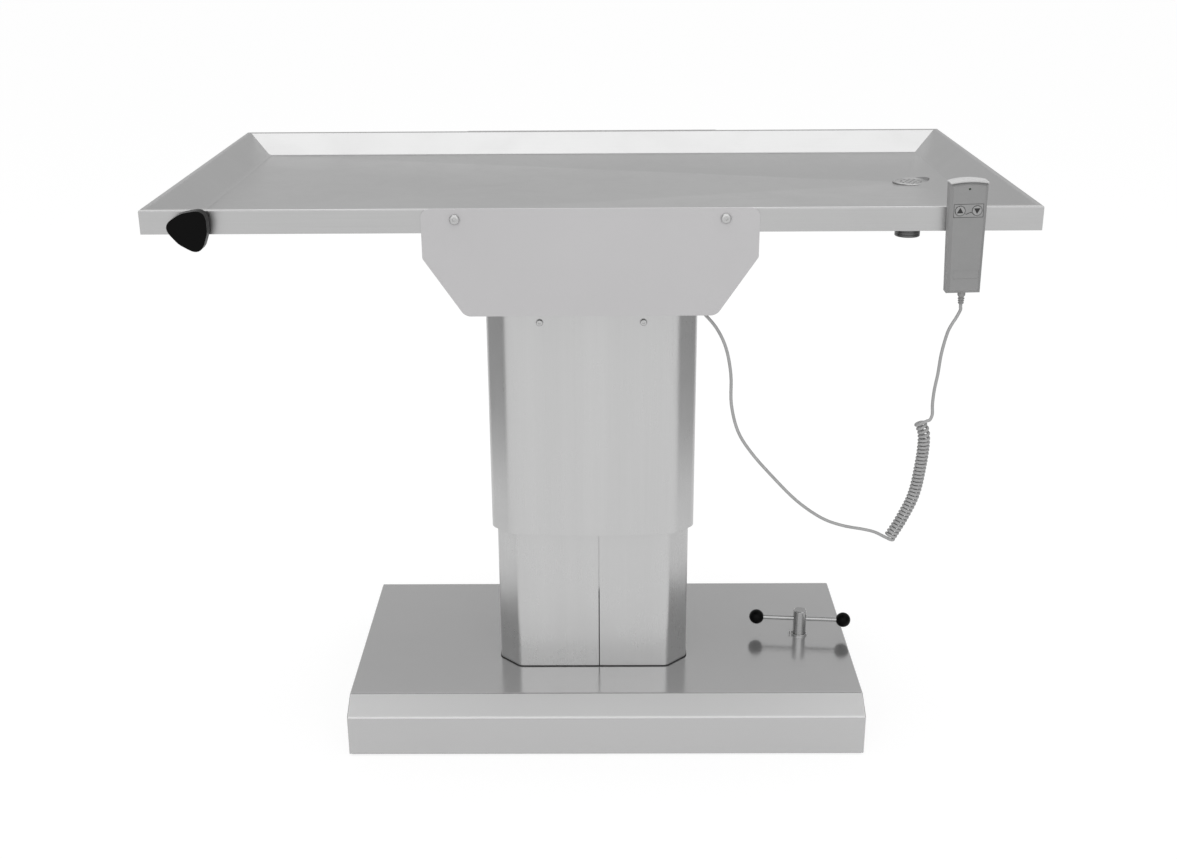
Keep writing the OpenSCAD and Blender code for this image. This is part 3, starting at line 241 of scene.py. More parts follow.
def tube(name, line, diameter, sides):
    """A closed tube along the line, with its rings carried on without a twist."""
    shape = bmesh.new()
    across = Vector((0, 1, 0.01))
    rings = []
    for k, middle in enumerate(line):
        along = (line[min(k + 1, len(line) - 1)] - line[max(k - 1, 0)]).normalized()
        across = (across - across.dot(along) * along).normalized()
        other = along.cross(across)
        turns = (2 * math.pi * j / sides for j in range(sides))
        rings.append([shape.verts.new(middle + diameter / 2 * (math.cos(a) * across + math.sin(a) * other))
            for a in turns])
    for low, high in zip(rings, rings[1:]):
        for j in range(sides):
            shape.faces.new((low[j], low[(j + 1) % sides], high[(j + 1) % sides], high[j]))
    shape.faces.new(rings[0][::-1])
    shape.faces.new(rings[-1])
    mesh = bpy.data.meshes.new(name)
    shape.to_mesh(mesh)
    shape.free()
    piece = bpy.data.objects.new(name, mesh)
    scene.collection.objects.link(piece)
    for face in mesh.polygons:
        face.use_smooth = len(face.vertices) == 4
    return piece


def line_length(line):
    return sum((b - a).length for a, b in zip(line, line[1:]))


axis = smooth_line(points((423, -340, 427), (438, -340, 456), (453, -340, 494), (459.5, -340, 538),
    (461.5, -340, 570), (460, -340, 588), (454, -340, 602)), 8)
reach = [line_length(axis[:k + 1]) for k in range(len(axis))]


def on_axis(s):
    """The place on the axis of the curls at that distance from its foot."""
    s = min(max(s, 0), reach[-1])
    k = next(k for k in range(1, len(reach)) if reach[k] >= s - 1e-12)
    return axis[k - 1].lerp(axis[k], (s - reach[k - 1]) / (reach[k] - reach[k - 1]))


def axis_side(s):
    along = (on_axis(s + cord_d) - on_axis(s - cord_d)).normalized()
    return Vector((along.z, 0, -along.x))


# The top four turns are drawn apart by the pull on the cord
curls, curl_steps, curl_r, curl_d, loose = 33, 16, 0.0065, 0.0175, 4
packed, fan = curls - loose, loose * 0.38 * curl_d
curl_line = []
for k in range(curls * curl_steps + 1):
    turn = k / curl_steps
    s = turn / packed * (reach[-1] - fan) if turn < packed else reach[-1] - fan + (turn - packed) / loose * fan
    angle = 2 * math.pi * turn - math.pi / 2
    curl_line.append(on_axis(s) + curl_r * (math.cos(angle) * axis_side(s) + math.sin(angle) * Vector((0, 1, 0))))
lead_in, lead_out = cord_d * axis_side(0), cord_d * axis_side(reach[-1])
curl_line = [curl_line[0] - lead_in] + curl_line + [curl_line[-1] + lead_out]
handset_x, mid_y, handset_z, tilt = 0.4955, -0.3366, 0.86, math.radians(-1.2)
handset_up = Vector((math.sin(tilt), 0, math.cos(tilt)))
relief_end = Vector((handset_x, mid_y, handset_z)) - 0.09 * handset_up
lower_line = smooth_line(points((92, -300, 800), (97, -300, 800), (102, -300, 800), (115, -300, 793),
    (132, -300, 775), (152.5, -300, 751), (173, -301, 727), (187, -303, 698), (194.5, -305, 660), (196, -308, 618),
    (206, -312, 579), (225, -317, 549), (254, -322, 516), (290, -328, 480), (325, -334, 456), (354, -340, 446.5),
    (384, -345, 442.5), (400, -346, 438.7)) + [curl_line[0] - k * lead_in for k in (2, 1, 0)], 5)
upper_line = smooth_line([curl_line[-1] + k * lead_out for k in (0, 1, 2)] + points((469, -345.5, 615.5),
    (468.5, -344, 630), (470, -342, 650), (473.5, -340, 672), (476.5, -338, 700), (482.3, -337, 728),
    (487.5, -337, 741), (492.8, -336.8, 750.5)) + [relief_end - k * cord_d * handset_up for k in (2, 1, 0)], 5)

cord_look = Look(bpy.data.materials.new("cord_skin"))
place = cord_look.place()
scuffs = cord_look.noise(place, 60, 3)
grain = cord_look.noise(place, 2500)
cord_look.surface({
    "Base Color": cord_look.between(scuffs, grey(0.36), grey(0.5)),
    "Roughness": 0.34 + 0.2 * scuffs,
    "Normal": cord_look.bump(grain, 0.15, 0.0002)})

hand_line = curl_line + upper_line[1:]
for name, line, sides, nodes in (
        ("handset_cord_lower", lower_line, 12, ("cord_lower",)),
        ("handset_cord_curly", hand_line, 10, ("curly_cord", "cord_upper"))):
    piece = tube(name, line, cord_d, sides)
    piece.data.materials.append(cord_look.owner)
    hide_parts(*nodes)
    round(line_length(line), 3)
    if line is lower_line:
        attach(piece, "top")
    else:
        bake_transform(piece)

# Tray
# One folded tray of 1.5 mm brushed stainless sheet: a flat rim, sloping walls, a floor that
# falls to the drain with four soft creases, and an apron turned down outside. The mitres and
# the cup round the drain are welded and ground, and the whole is brushed lengthwise.


def begin(name):
    """The object just added gets its name, and its own place goes into its mesh."""
    piece = bpy.context.object
    piece.name = name
    piece.data.name = name
    bpy.ops.object.transform_apply(location=True, rotation=True, scale=True)
    return piece


def clear():
    if bpy.context.object and bpy.context.object.mode == "EDIT":
        bpy.ops.object.mode_set(mode="OBJECT")
    bpy.ops.object.select_all(action="DESELECT")


def work_on(piece):
    clear()
    piece.select_set(True)
    bpy.context.view_layer.objects.active = piece


def edit(piece):
    work_on(piece)
    bpy.ops.object.mode_set(mode="EDIT")


def pick(kind, test):
    """Selects the faces, edges or vertices whose middle and direction pass the test."""
    bpy.ops.mesh.select_mode(type=kind)
    bpy.ops.mesh.select_all(action="DESELECT")
    mesh = bpy.context.object.data
    shape = bmesh.from_edit_mesh(mesh)
    chosen = 0
    for part in {"VERT": shape.verts, "EDGE": shape.edges, "FACE": shape.faces}[kind]:
        if kind == "VERT":
            hit = test(part.co, part.normal)
        elif kind == "EDGE":
            a, b = part.verts[0].co, part.verts[1].co
            hit = test((a + b) / 2, (b - a).normalized())
        else:
            hit = test(part.calc_center_median(), part.normal)
        part.select_set(bool(hit))
        chosen += bool(hit)
    shape.select_flush_mode()
    bmesh.update_edit_mesh(mesh)
    return chosen


def face_out(gap=0):
    """Merges what lies within the gap, if one is given, and turns every face outward."""
    bpy.ops.mesh.select_all(action="SELECT")
    if gap:
        bpy.ops.mesh.remove_doubles(threshold=gap)
    bpy.ops.mesh.normals_make_consistent(inside=False)


def near(a, b, slack=0.0002):
    return abs(a - b) < slack


def bend(test, radius, segments):
    """Rounds the edges that pass the test."""
    pick("EDGE", test)
    bpy.ops.mesh.bevel(offset=radius, segments=segments, affect="EDGES")


def pull(x, y, z):
    """Extrudes what is selected that far."""
    bpy.ops.mesh.extrude_region_move(TRANSFORM_OT_translate={"value": (x, y, z)})


def modify(piece, kind, **settings):
    """Adds a modifier and applies it."""
    work_on(piece)
    modifier = piece.modifiers.new(kind.lower(), kind)
    for name, value in settings.items():
        setattr(modifier, name, value)
    bpy.ops.object.modifier_apply(modifier=modifier.name)


def thicken(piece, sheet):
    """Gives a folded surface the thickness of its sheet, inward."""
    modify(piece, "SOLIDIFY", thickness=sheet, offset=-1, use_even_offset=True)


def flip(piece):
    """Turns the faces of a sheet to its other side."""
    edit(piece)
    bpy.ops.mesh.select_all(action="SELECT")
    bpy.ops.mesh.flip_normals()


def cut(piece, tool, operation="DIFFERENCE"):
    """Cuts, joins or meets the piece with a tool, which is then thrown away."""
    modify(piece, "BOOLEAN", object=tool, operation=operation, solver="EXACT")
    bpy.data.objects.remove(tool)


def rod(radius, start, end, sides=32, name="rod"):
    """A round bar between two points."""
    clear()
    start, end = Vector(start), Vector(end)
    bpy.ops.mesh.primitive_cone_add(vertices=sides, radius1=radius, radius2=radius, depth=(end - start).length,
        location=(start + end) / 2, rotation=(end - start).to_track_quat("Z", "Y").to_euler())
    return begin(name)


def shade(piece, angle=32):
    work_on(piece)
    bpy.ops.object.shade_smooth_by_angle(angle=math.radians(angle))
    modify(piece, "WEIGHTED_NORMAL", weight=100, keep_sharp=True)


def dress(piece, look, body, slot, *nodes):
    """Gives the piece its finish and its body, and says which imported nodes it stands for."""
    piece.data.materials.clear()
    piece.data.materials.append(look)
    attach(piece, body)
    if nodes:
        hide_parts(*nodes)


def brushed(name, tone, gloss, streak, metallic=1.0, wear=0.12, depth=1.0, bands=(3.2, 3.2, 3.2), painted_light_band=None):
    """Brushed steel: fine streaks along one axis, soft clouds or bands, wiped smudges, and painted light on a band if
    one is given.
    """
    look = Look(bpy.data.materials.new(name))
    place = look.place()
    drawn = look.node("ShaderNodeMapping", {}, {"Vector": place, "Scale": streak})
    streaks = look.noise(drawn, 1.0, 4, 0.65)
    spread = look.node("ShaderNodeMapping", {}, {"Vector": place, "Scale": bands})
    clouds = look.noise(spread, 1.0, 3, 0.6)
    smudges = look.noise(place, 11, 6, 0.7, 0.6)
    wiped = look.ramp(smudges, (0.42, 0), (0.72, 1))
    share = streaks * 0.45 + clouds * 0.55
    metal = look.between(share, grey(tone * (1 - wear)), grey(tone * (1 + wear)))
    if painted_light_band:
        # Painted light: the sloping bands get a paler tone and a less metallic, duller finish than the rest, standing
        # in for the light they catch
        middle, half, painted_band_tone, band_metallic = painted_light_band
        x, y, z = [abs(look.node("ShaderNodeSeparateXYZ", {}, {0: place}, axis) - shift)
            for axis, shift in zip("XYZ", middle)]
        painted_light_mask = (z < half[2]) * (x < half[0]) * (1 - (y < half[1]))
        metal = look.between(painted_light_mask, metal, grey(painted_band_tone))
        metallic = metallic - painted_light_mask * (metallic - band_metallic)
    look.surface({
        "Base Color": metal,
        "Metallic": metallic,
        "Roughness": gloss - 0.07 + 0.16 * streaks + 0.07 * wiped,
        "Normal": look.bump(streaks, 0.12 * depth, 0.0003)})
    return look.owner


tray_steel = brushed("tray_steel", 0.52, 0.3, (4, 700, 700))
rim_z, floor_z = 0.9, 0.8675
outer, inner, foot = (0.6, 0.325), (0.591, 0.316), (0.553, 0.278)
outlet = (0.505, 0.068)
knob_x, knob_z = -0.5285, 0.877
bolt_x, bolt_z, bolt_hole = 0.18, 0.886, 0.00425


def along(c, half):
    """Whether a place lies on the outline of that half length and half width."""
    return near(abs(c.x), half[0]) or near(abs(c.y), half[1])


clear()
bpy.ops.mesh.primitive_plane_add(size=1, location=(0, 0, rim_z))
bpy.context.object.scale = (2 * outer[0], 2 * outer[1], 1)
tray = begin("tray_sheet")
edit(tray)
bpy.ops.mesh.inset(thickness=outer[0] - inner[0])
pull(0, 0, floor_z - rim_z)
bpy.ops.transform.resize(value=(foot[0] / inner[0], foot[1] / inner[1], 1), center_override=(0, 0, floor_z))
bpy.ops.mesh.poke()
pick("VERT", lambda c, n: near(c.x, 0, 0.01) and near(c.y, 0, 0.01))
bpy.ops.transform.translate(value=(*outlet, -0.012))
pick("EDGE", lambda c, d: along(c, outer))
pull(0, 0, -0.033)
bend(lambda c, d: c.z > rim_z - 0.0001 and along(c, outer), 0.0026, 4)
bend(lambda c, d: near(c.z, rim_z) and along(c, inner), 0.0022, 3)
bend(lambda c, d: near(c.z, floor_z) and along(c, foot), 0.005, 4)
bend(lambda c, d: c.z < floor_z - 0.0003 and abs(c.x) < 0.545 and abs(c.y) < 0.27, 0.004, 2)
face_out(0.00005)
bpy.ops.object.mode_set(mode="OBJECT")
if max(tray.data.polygons, key=lambda face: face.area).normal.z < 0:
    flip(tray)

# The room above the tray, used to trim the drain's cup
edit(tray)
bpy.ops.mesh.select_all(action="SELECT")
bpy.ops.mesh.duplicate()
bpy.ops.mesh.separate(type="SELECTED")
clear()
room = next(o for o in scene.objects if o.name.startswith("tray_sheet") and o is not tray)
edit(room)
pick("FACE", lambda c, n: c.z > 0.8985 or abs(c.x) > 0.598 or abs(c.y) > 0.3235)
bpy.ops.mesh.delete(type="FACE")
pick("EDGE", lambda c, d: c.z > 0.898)
pull(0, 0, 0.05)
pick("EDGE", lambda c, d: c.z > 0.947)
bpy.ops.mesh.edge_face_add()
face_out()
thicken(tray, 0.0015)
cup = rod(0.0301, (*outlet, 0.854), (*outlet, 0.866), 64)
cut(cup, room)
cut(tray, cup, "UNION")
cut(tray, rod(0.0286, (*outlet, 0.8555), (*outlet, 0.88), 64))
cut(tray, rod(0.02125, (*outlet, 0.85), (*outlet, 0.86), 48))
cut(tray, rod(0.007, (knob_x, -0.33, knob_z), (knob_x, -0.32, knob_z), 32))
for x in (-bolt_x, bolt_x):
    for side in (-1, 1):
        cut(tray, rod(bolt_hole, (x, side * 0.332, bolt_z), (x, side * 0.321, bolt_z), 24))
shade(tray, 20)
dress(tray, tray_steel, "top", "tray_steel", "tray")

# Side plates
# Two 3 mm steel plates, light grey with a satin powder coat, over the middle of the aprons.
# They are laser cut with rounded corners, and two round-headed socket screws hold each of
# them and the apron to the end flanges of the cross channels.


def coated(name, tone, gloss, orange_peel, tint=0.0):
    """Sprayed or powdered paint: faint clouds, orange peel, slightly worn sheen."""
    look = Look(bpy.data.materials.new(name))
    place = look.place()
    clouds = look.noise(place, 5, 3)
    peel = look.noise(place, 420)
    scuffs = look.noise(place, 26, 6, 0.7)
    worn = look.ramp(scuffs, (0.5, 0), (0.75, 1))
    low = (tone * 0.95, tone * (0.95 - tint), tone * 0.95, 1)
    high = (tone * 1.05, tone * (1.05 - tint), tone * 1.05, 1)
    look.surface({
        "Base Color": look.between(clouds, low, high),
        "Roughness": gloss + 0.12 * worn,
        "Normal": look.bump(peel, orange_peel, 0.0004)})
    return look.owner


def soften(piece, width, segments=2, angle=30, smooth=32):
    """Rounds the sharp edges and shades the piece smooth between them."""
    modify(piece, "BEVEL", width=width, segments=segments, limit_method="ANGLE", angle_limit=math.radians(angle),
        use_clamp_overlap=True)
    shade(piece, smooth)


plate_paint = coated("plate_paint", 0.6, 0.42, 0.08, 0.012)
bolt_steel = brushed("bolt_steel", 0.55, 0.24, (300, 300, 300), depth=0.5)

plate_y, plate_foot_z, bend_z = -0.3265, 0.7525, 0.833
clear()
bpy.ops.mesh.primitive_plane_add(size=1, location=(0, plate_y, 0.82625), rotation=(math.pi / 2, 0, 0))
bpy.context.object.scale = (0.45, 0.1475, 1)
plate = begin("side_plate_front")
edit(plate)
bpy.ops.mesh.select_all(action="SELECT")
bpy.ops.mesh.bisect(plane_co=(0, plate_y, bend_z), plane_no=(0, 0, 1))
pick("EDGE", lambda c, d: near(c.z, plate_foot_z))
bpy.ops.transform.resize(value=(0.3406 / 0.45, 1, 1), center_override=(0, plate_y, plate_foot_z))
for test, radius in ((lambda c, n: near(c.z, rim_z), 0.012), (lambda c, n: near(c.z, plate_foot_z), 0.0073),
        (lambda c, n: near(c.z, bend_z) and abs(c.x) > 0.2, 0.0019)):
    pick("VERT", test)
    bpy.ops.mesh.bevel(offset=radius, segments=10, affect="VERTICES")
pick("FACE", lambda c, n: True)
bpy.ops.mesh.dissolve_limited(angle_limit=0.01)
bpy.ops.mesh.normals_make_consistent(inside=False)
modify(plate, "SOLIDIFY", thickness=0.003, offset=0)
for x in (-bolt_x, bolt_x):
    cut(plate, rod(bolt_hole, (x, -0.34, bolt_z), (x, -0.31, bolt_z), 24))
soften(plate, 0.0006)
dress(plate, plate_paint, "top", "plate_paint", "side_plate_front")


def copy_of(piece, name, transform):
    """A copy with its own mesh, moved or mirrored into place."""
    twin = piece.copy()
    twin.data = piece.data.copy()
    twin.name = twin.data.name = name
    scene.collection.objects.link(twin)
    twin.parent = None
    twin.matrix_world = transform
    work_on(twin)
    bpy.ops.object.transform_apply(location=True, rotation=True, scale=True)
    if transform.determinant() < 0:
        edit(twin)
        face_out()
        shade(twin)
    return twin


to_rear = Matrix.Rotation(math.pi, 4, "Z")
dress(copy_of(plate, "side_plate_rear", to_rear), plate_paint, "top", "plate_paint", "side_plate_rear")

# One screw: a low dome with a hexagon socket, its shank, and the nut behind the flange
clear()
bpy.ops.mesh.primitive_cylinder_add(vertices=48, radius=0.007, depth=0.0044, location=(bolt_x, -0.3302, bolt_z),
    rotation=(math.pi / 2, 0, 0))
screw = begin("side_screw")
edit(screw)
pick("FACE", lambda c, n: n.y < -0.9)
bpy.ops.mesh.bevel(offset=0.0036, segments=6, profile=0.6, affect="EDGES")
cut(screw, rod(0.00277, (bolt_x, -0.34, bolt_z), (bolt_x, -0.3298, bolt_z), 6))
for tool in (rod(0.004, (bolt_x, -0.329, bolt_z), (bolt_x, -0.3109, bolt_z), 32),
        rod(0.0075, (bolt_x, -0.3195, bolt_z), (bolt_x, -0.313, bolt_z), 6)):
    cut(screw, tool, "UNION")
soften(screw, 0.0002)


def in_fours(first, x, body, node):
    """Copies the screw to the other side of the middle and to the rear, and dresses all four."""
    across, back = Matrix.Translation((-2 * x, 0, 0)), Matrix.Translation((2 * x, 0, 0))
    whole = [first]
    for end, transform in (("_b", across), ("_c", to_rear), ("_d", back @ to_rear)):
        whole.append(copy_of(first, first.name + end, transform))
    for piece in whole:
        dress(piece, bolt_steel, body, "bolt_steel", node)


in_fours(screw, bolt_x, "top", "side_plate_bolts")

# Drain
# A turned outlet with a fine thread above and a grooved spout below, its flange in the cup of
# the floor, a hexagon locknut and a rubber gasket under the floor, and a perforated
# polished strainer that lifts out.


def turned(name, tone, gloss, painted_shade_below=None, tint=(1, 1, 1)):
    """Dull turned or zinc-plated metal; if a height is given, bright polished steel above it, and below it the given
    tone stands as a painted shade.
    """
    look = Look(bpy.data.materials.new(name))
    place = look.place()
    cloudy = look.noise(place, 40, 5, 0.7)
    fine = look.noise(place, 600)
    low, high = [(*(tone * share * part for part in tint), 1) for share in (0.8, 1.18)]
    metal = look.between(cloudy, low, high)
    if painted_shade_below:
        height = look.node("ShaderNodeSeparateXYZ", {}, {0: place}, "Z")
        polished = look.node("ShaderNodeMapRange", {}, {"Value": height, "From Min": painted_shade_below - 0.001,
            "From Max": painted_shade_below})
        metal = look.between(polished, metal, look.between(cloudy, grey(0.48), grey(0.58)))
    look.surface({
        "Base Color": metal,
        "Metallic": 1.0,
        "Roughness": gloss - 0.08 + 0.2 * cloudy,
        "Normal": look.bump(fine, 0.1, 0.0003)})
    return look.owner


# The drain's outlet and locknut under the floor are dark as a painted shade; only the flange above the floor shows
# bright steel
drain_metal = turned("drain_metal", 0.16, 0.36, painted_shade_below=0.8572)
strainer_steel = turned("strainer_steel", 0.52, 0.3)


def blank(name):
    """An empty piece, opened to be drawn point by point."""
    clear()
    piece = bpy.data.objects.new(name, bpy.data.meshes.new(name))
    scene.collection.objects.link(piece)
    edit(piece)
    return piece, bmesh.from_edit_mesh(piece.data)


def lathe(name, profile, centre, steps=48):
    """A round piece spun from its profile of (radius, height) points about an upright axis."""
    piece, shape = blank(name)
    ring = [shape.verts.new((centre[0] + r, centre[1], z)) for r, z in profile]
    for a, b in zip(ring, ring[1:]):
        shape.edges.new((a, b))
    bmesh.update_edit_mesh(piece.data)
    bpy.ops.mesh.select_all(action="SELECT")
    bpy.ops.mesh.spin(steps=steps, angle=2 * math.pi, center=(centre[0], centre[1], 0), axis=(0, 0, 1))
    face_out(0.00002)
    shade(piece)
    return piece


thread = []
for k in range(9):
    z = 0.8525 - 0.0014 * k
    thread += [(0.021, z), (0.021, z - 0.0004), (0.0203, z - 0.0007), (0.0203, z - 0.001)]
grooves = []
for k in range(4):
    z = 0.7885 - 0.0042 * k
    grooves += [(0.02, z), (0.0194, z - 0.0004), (0.0194, z - 0.001), (0.02, z - 0.0014)]
drain = lathe("drain_body", [(0.017, 0.7715), (0.017, 0.8568), (0.0173, 0.857), (0.0234, 0.857),
    (0.02375, 0.8573), (0.02375, 0.8582), (0.0241, 0.8585), (0.0278, 0.8585), (0.0283, 0.858), (0.0283, 0.8556),
    (0.0279, 0.8555), (0.021, 0.8555)] + thread + [(0.02, 0.8395)] + grooves + [(0.02, 0.7717),
    (0.0194, 0.771), (0.0176, 0.771), (0.017, 0.7715)], outlet, 64)
dress(drain, drain_metal, "top", "drain_metal", "drain_body")

nut = rod(0.027 / math.cos(math.pi / 6), (*outlet, 0.842), (*outlet, 0.852), 6, "drain_locknut")
cut(nut, rod(0.0211, (*outlet, 0.84), (*outlet, 0.86), 64))
soften(nut, 0.0008, 3)
dress(nut, drain_metal, "top", "drain_metal", "drain_locknut")

strainer = rod(0.0235, (*outlet, 0.857), (*outlet, 0.8582), 64, "drain_strainer")
edit(strainer)
pick("FACE", lambda c, n: n.z > 0.9)
bpy.ops.mesh.inset(thickness=0.0022)
bpy.ops.transform.translate(value=(0, 0, -0.0004))
bpy.ops.mesh.inset(thickness=0.004)
drills = []
for row, count in ((0, 1), (1, 6), (2, 12)):
    for k in range(count):
        angle = 2 * math.pi * k / count
        r = row * 0.0235 / 3
        x, y = outlet[0] + r * math.cos(angle), outlet[1] + r * math.sin(angle)
        drills.append(rod(0.0021, (x, y, 0.85), (x, y, 0.86), 20))
work_on(drills[0])
for drill in drills:
    drill.select_set(True)
bpy.ops.object.join()
cut(strainer, bpy.context.object)
soften(strainer, 0.0002)
dress(strainer, strainer_steel, "strainer", "strainer_steel", "drain_strainer")

# Sleeve
# The outer sleeve of the column, folded from 2 mm brushed stainless sheet and seam-welded
# at the rear: front and rear bow out a little, the corners are folded at 45 degrees, and
# four small button-head screws near its top hold it to the head of the column.
column_steel = brushed("column_steel", 0.61, 0.28, (1500, 1500, 6), 0.9, 0.1, 0.1, (26, 26, 0.5))


def box_outline(half_x, half_y, chamfer, z0, z1, name, radius=0):
    """An open-ended folded box with chamfered corners, and rounded bends if a radius is given."""
    clear()
    bpy.ops.mesh.primitive_cube_add(size=2, location=(0, 0, (z0 + z1) / 2))
    bpy.context.object.scale = (half_x, half_y, (z1 - z0) / 2)
    piece = begin(name)
    edit(piece)
    pick("FACE", lambda c, n: abs(n.z) > 0.9)
    bpy.ops.mesh.delete(type="ONLY_FACE")
    pick("EDGE", lambda c, d: abs(d.z) > 0.9)
    bpy.ops.mesh.bevel(offset=chamfer, offset_type="OFFSET", segments=1, affect="EDGES")
    if radius:
        bend(lambda c, d: abs(d.z) > 0.9, radius, 5)
    return piece


sleeve_half, fold_x, bow = 0.1615, 0.1305, 0.008
screw_x, screw_z = 0.078, 0.685
sleeve = box_outline(sleeve_half, 0.122, 0.031, 0.335, 0.708, "column_sleeve")
pick("EDGE", lambda c, d: abs(d.x) > 0.9)
bpy.ops.mesh.subdivide(number_cuts=23)
for k in range(-12, 13):
    x = k * fold_x / 12
    push = bow * (1 - (x / fold_x) ** 2)
    for side in (-1, 1):
        if pick("VERT", lambda c, n: near(c.x, x, 0.002) and c.y * side > 0.12) and push > 0.0001:
            bpy.ops.transform.translate(value=(0, side * push, 0))
bend(lambda c, d: abs(d.z) > 0.9 and (near(abs(c.x), fold_x, 0.001) or near(abs(c.x), sleeve_half, 0.001)), 0.008, 8)
face_out(0.00005)
thicken(sleeve, 0.002)
for x in (-screw_x, screw_x):
    for side in (-1, 1):
        cut(sleeve, rod(0.00325, (x, side * 0.14, screw_z), (x, side * 0.11, screw_z), 24))
soften(sleeve, 0.0004, angle=50)
dress(sleeve, column_steel, "lift", "sleeve_steel", "sleeve")

face = 0.13 - bow * (screw_x / fold_x) ** 2
clear()
bpy.ops.mesh.primitive_cylinder_add(vertices=40, radius=0.0055, depth=0.003,
    location=(screw_x, -face - 0.0017, screw_z), rotation=(math.pi / 2, 0, 0))
small_screw = begin("sleeve_screw")
edit(small_screw)
pick("FACE", lambda c, n: n.y < -0.9)
bpy.ops.mesh.bevel(offset=0.0024, segments=5, affect="EDGES")
cut(small_screw, rod(0.0019, (screw_x, -0.14, screw_z), (screw_x, -face - 0.0016, screw_z), 6))
cut(small_screw, rod(0.003, (screw_x, -face - 0.001, screw_z), (screw_x, -face + 0.0115, screw_z), 24), "UNION")
soften(small_screw, 0.00015)
in_fours(small_screw, screw_x, "lift", "sleeve_screws")

# Column
# The inner column: two shells folded from 2 mm brushed stainless sheet, which meet at a
# seam in front with a lap joint behind it, and a thin dark bead of sealant at their foot.
shell_steel = brushed("shell_steel", 0.61, 0.27, (1500, 1500, 6), 0.9, 0.08, 0.1, (30, 30, 0.5))


def bar(low, high):
    """An upright block between two corners."""
    clear()
    low, high = Vector(low), Vector(high)
    bpy.ops.mesh.primitive_cube_add(size=1, location=(low + high) / 2)
    bpy.context.object.scale = high - low
    return begin("bar")


shell_foot, shell_top, seam_x, seam_half = 0.01, 0.45, 0.0095, 0.0008
for name, side in (("column_shell_left", -1), ("column_shell_right", 1)):
    shell = box_outline(0.154, 0.11, 0.033, shell_foot, shell_top, name, 0.0048)
    bpy.ops.mesh.select_all(action="SELECT")
    bpy.ops.mesh.bisect(plane_co=(seam_x + side * seam_half, 0, 0), plane_no=(side, 0, 0), clear_inner=True)
    face_out()
    bpy.ops.object.mode_set(mode="OBJECT")
    outward = max(shell.data.polygons, key=lambda face: abs(face.normal.x) * face.area)
    if outward.normal.x * side < 0:
        flip(shell)
    thicken(shell, 0.002)
    if side < 0:
        # The lap behind the seam, a strip spot-welded inside the left shell
        for y in (-1, 1):
            strip = bar((seam_x - 0.028, min(y * 0.108, y * 0.106), shell_foot),
                (seam_x + 0.028, max(y * 0.108, y * 0.106), shell_top))
            cut(shell, strip, "UNION")
    soften(shell, 0.0003, angle=50)
    dress(shell, shell_steel, "base", "shell_steel", name)


def rubbery(name, tone, gloss, shine=0.5):
    """Rubber, sealant or black plastic, faintly dusty."""
    look = Look(bpy.data.materials.new(name))
    place = look.place()
    dust = look.noise(place, 70, 5, 0.7)
    fine = look.noise(place, 900)
    look.surface({
        "Base Color": look.between(dust, grey(tone * 0.8), grey(tone * 1.5)),
        "Roughness": gloss + 0.15 * dust,
        "Specular IOR Level": shine,
        "Normal": look.bump(fine, 0.2, 0.0003)})
    return look.owner


black_rubber = rubbery("black_rubber", 0.018, 0.55)
seal = box_outline(0.1552, 0.1112, 0.0335, 0.09, 0.0915, "column_seal", 0.005)
face_out()
thicken(seal, 0.0012)
soften(seal, 0.0005, angle=50)
dress(seal, black_rubber, "base", "black_rubber", "column_seal")

# Base
# A cover folded from 2 mm brushed stainless sheet: flat top, sloping bands at the front and
# rear, upright skirts, welded and ground corners. It hangs over the steel base frame.
base_x, base_top = 0.02, 0.09
# The sloping bands at front and rear carry painted light: paler and less metallic than the top
base_steel = brushed("base_steel", 0.58, 0.13, (4, 900, 900), 0.7, 0.04, 0.12,
    painted_light_band=((base_x, 0, 0.0782), (0.4085, 0.1945, 0.011), 0.8, 0.15))
clear()
bpy.ops.mesh.primitive_cube_add(size=1, location=(base_x, 0, 0.03625))
bpy.context.object.scale = (0.82, 0.47, 0.0665)
cover = begin("base_cover")
edit(cover)
pick("FACE", lambda c, n: n.z > 0.9)
pull(0, 0, 0.0205)
bpy.ops.transform.resize(value=(1, 0.39 / 0.47, 1), center_override=(base_x, 0, base_top))
pick("FACE", lambda c, n: n.z < -0.9)
bpy.ops.mesh.delete(type="ONLY_FACE")
bend(lambda c, d: c.z > 0.004, 0.0022, 4)
face_out()
thicken(cover, 0.002)
hole = box_outline(0.1545, 0.1105, 0.033, 0.08, 0.1, "cover_hole", 0.0048)
for top in (0.08, 0.1):
    pick("EDGE", lambda c, d: near(c.z, top, 0.001) and abs(d.z) < 0.1)
    bpy.ops.mesh.edge_face_add()
face_out()
cut(cover, hole)
jack_x = 0.353
cut(cover, rod(0.0115, (jack_x, 0, 0.08), (jack_x, 0, 0.1), 48))
cut(cover, bar((-0.26375, 0.2, 0.03), (-0.23625, 0.25, 0.05)))
shade(cover, 25)
dress(cover, base_steel, "base", "base_steel", "base_cover")

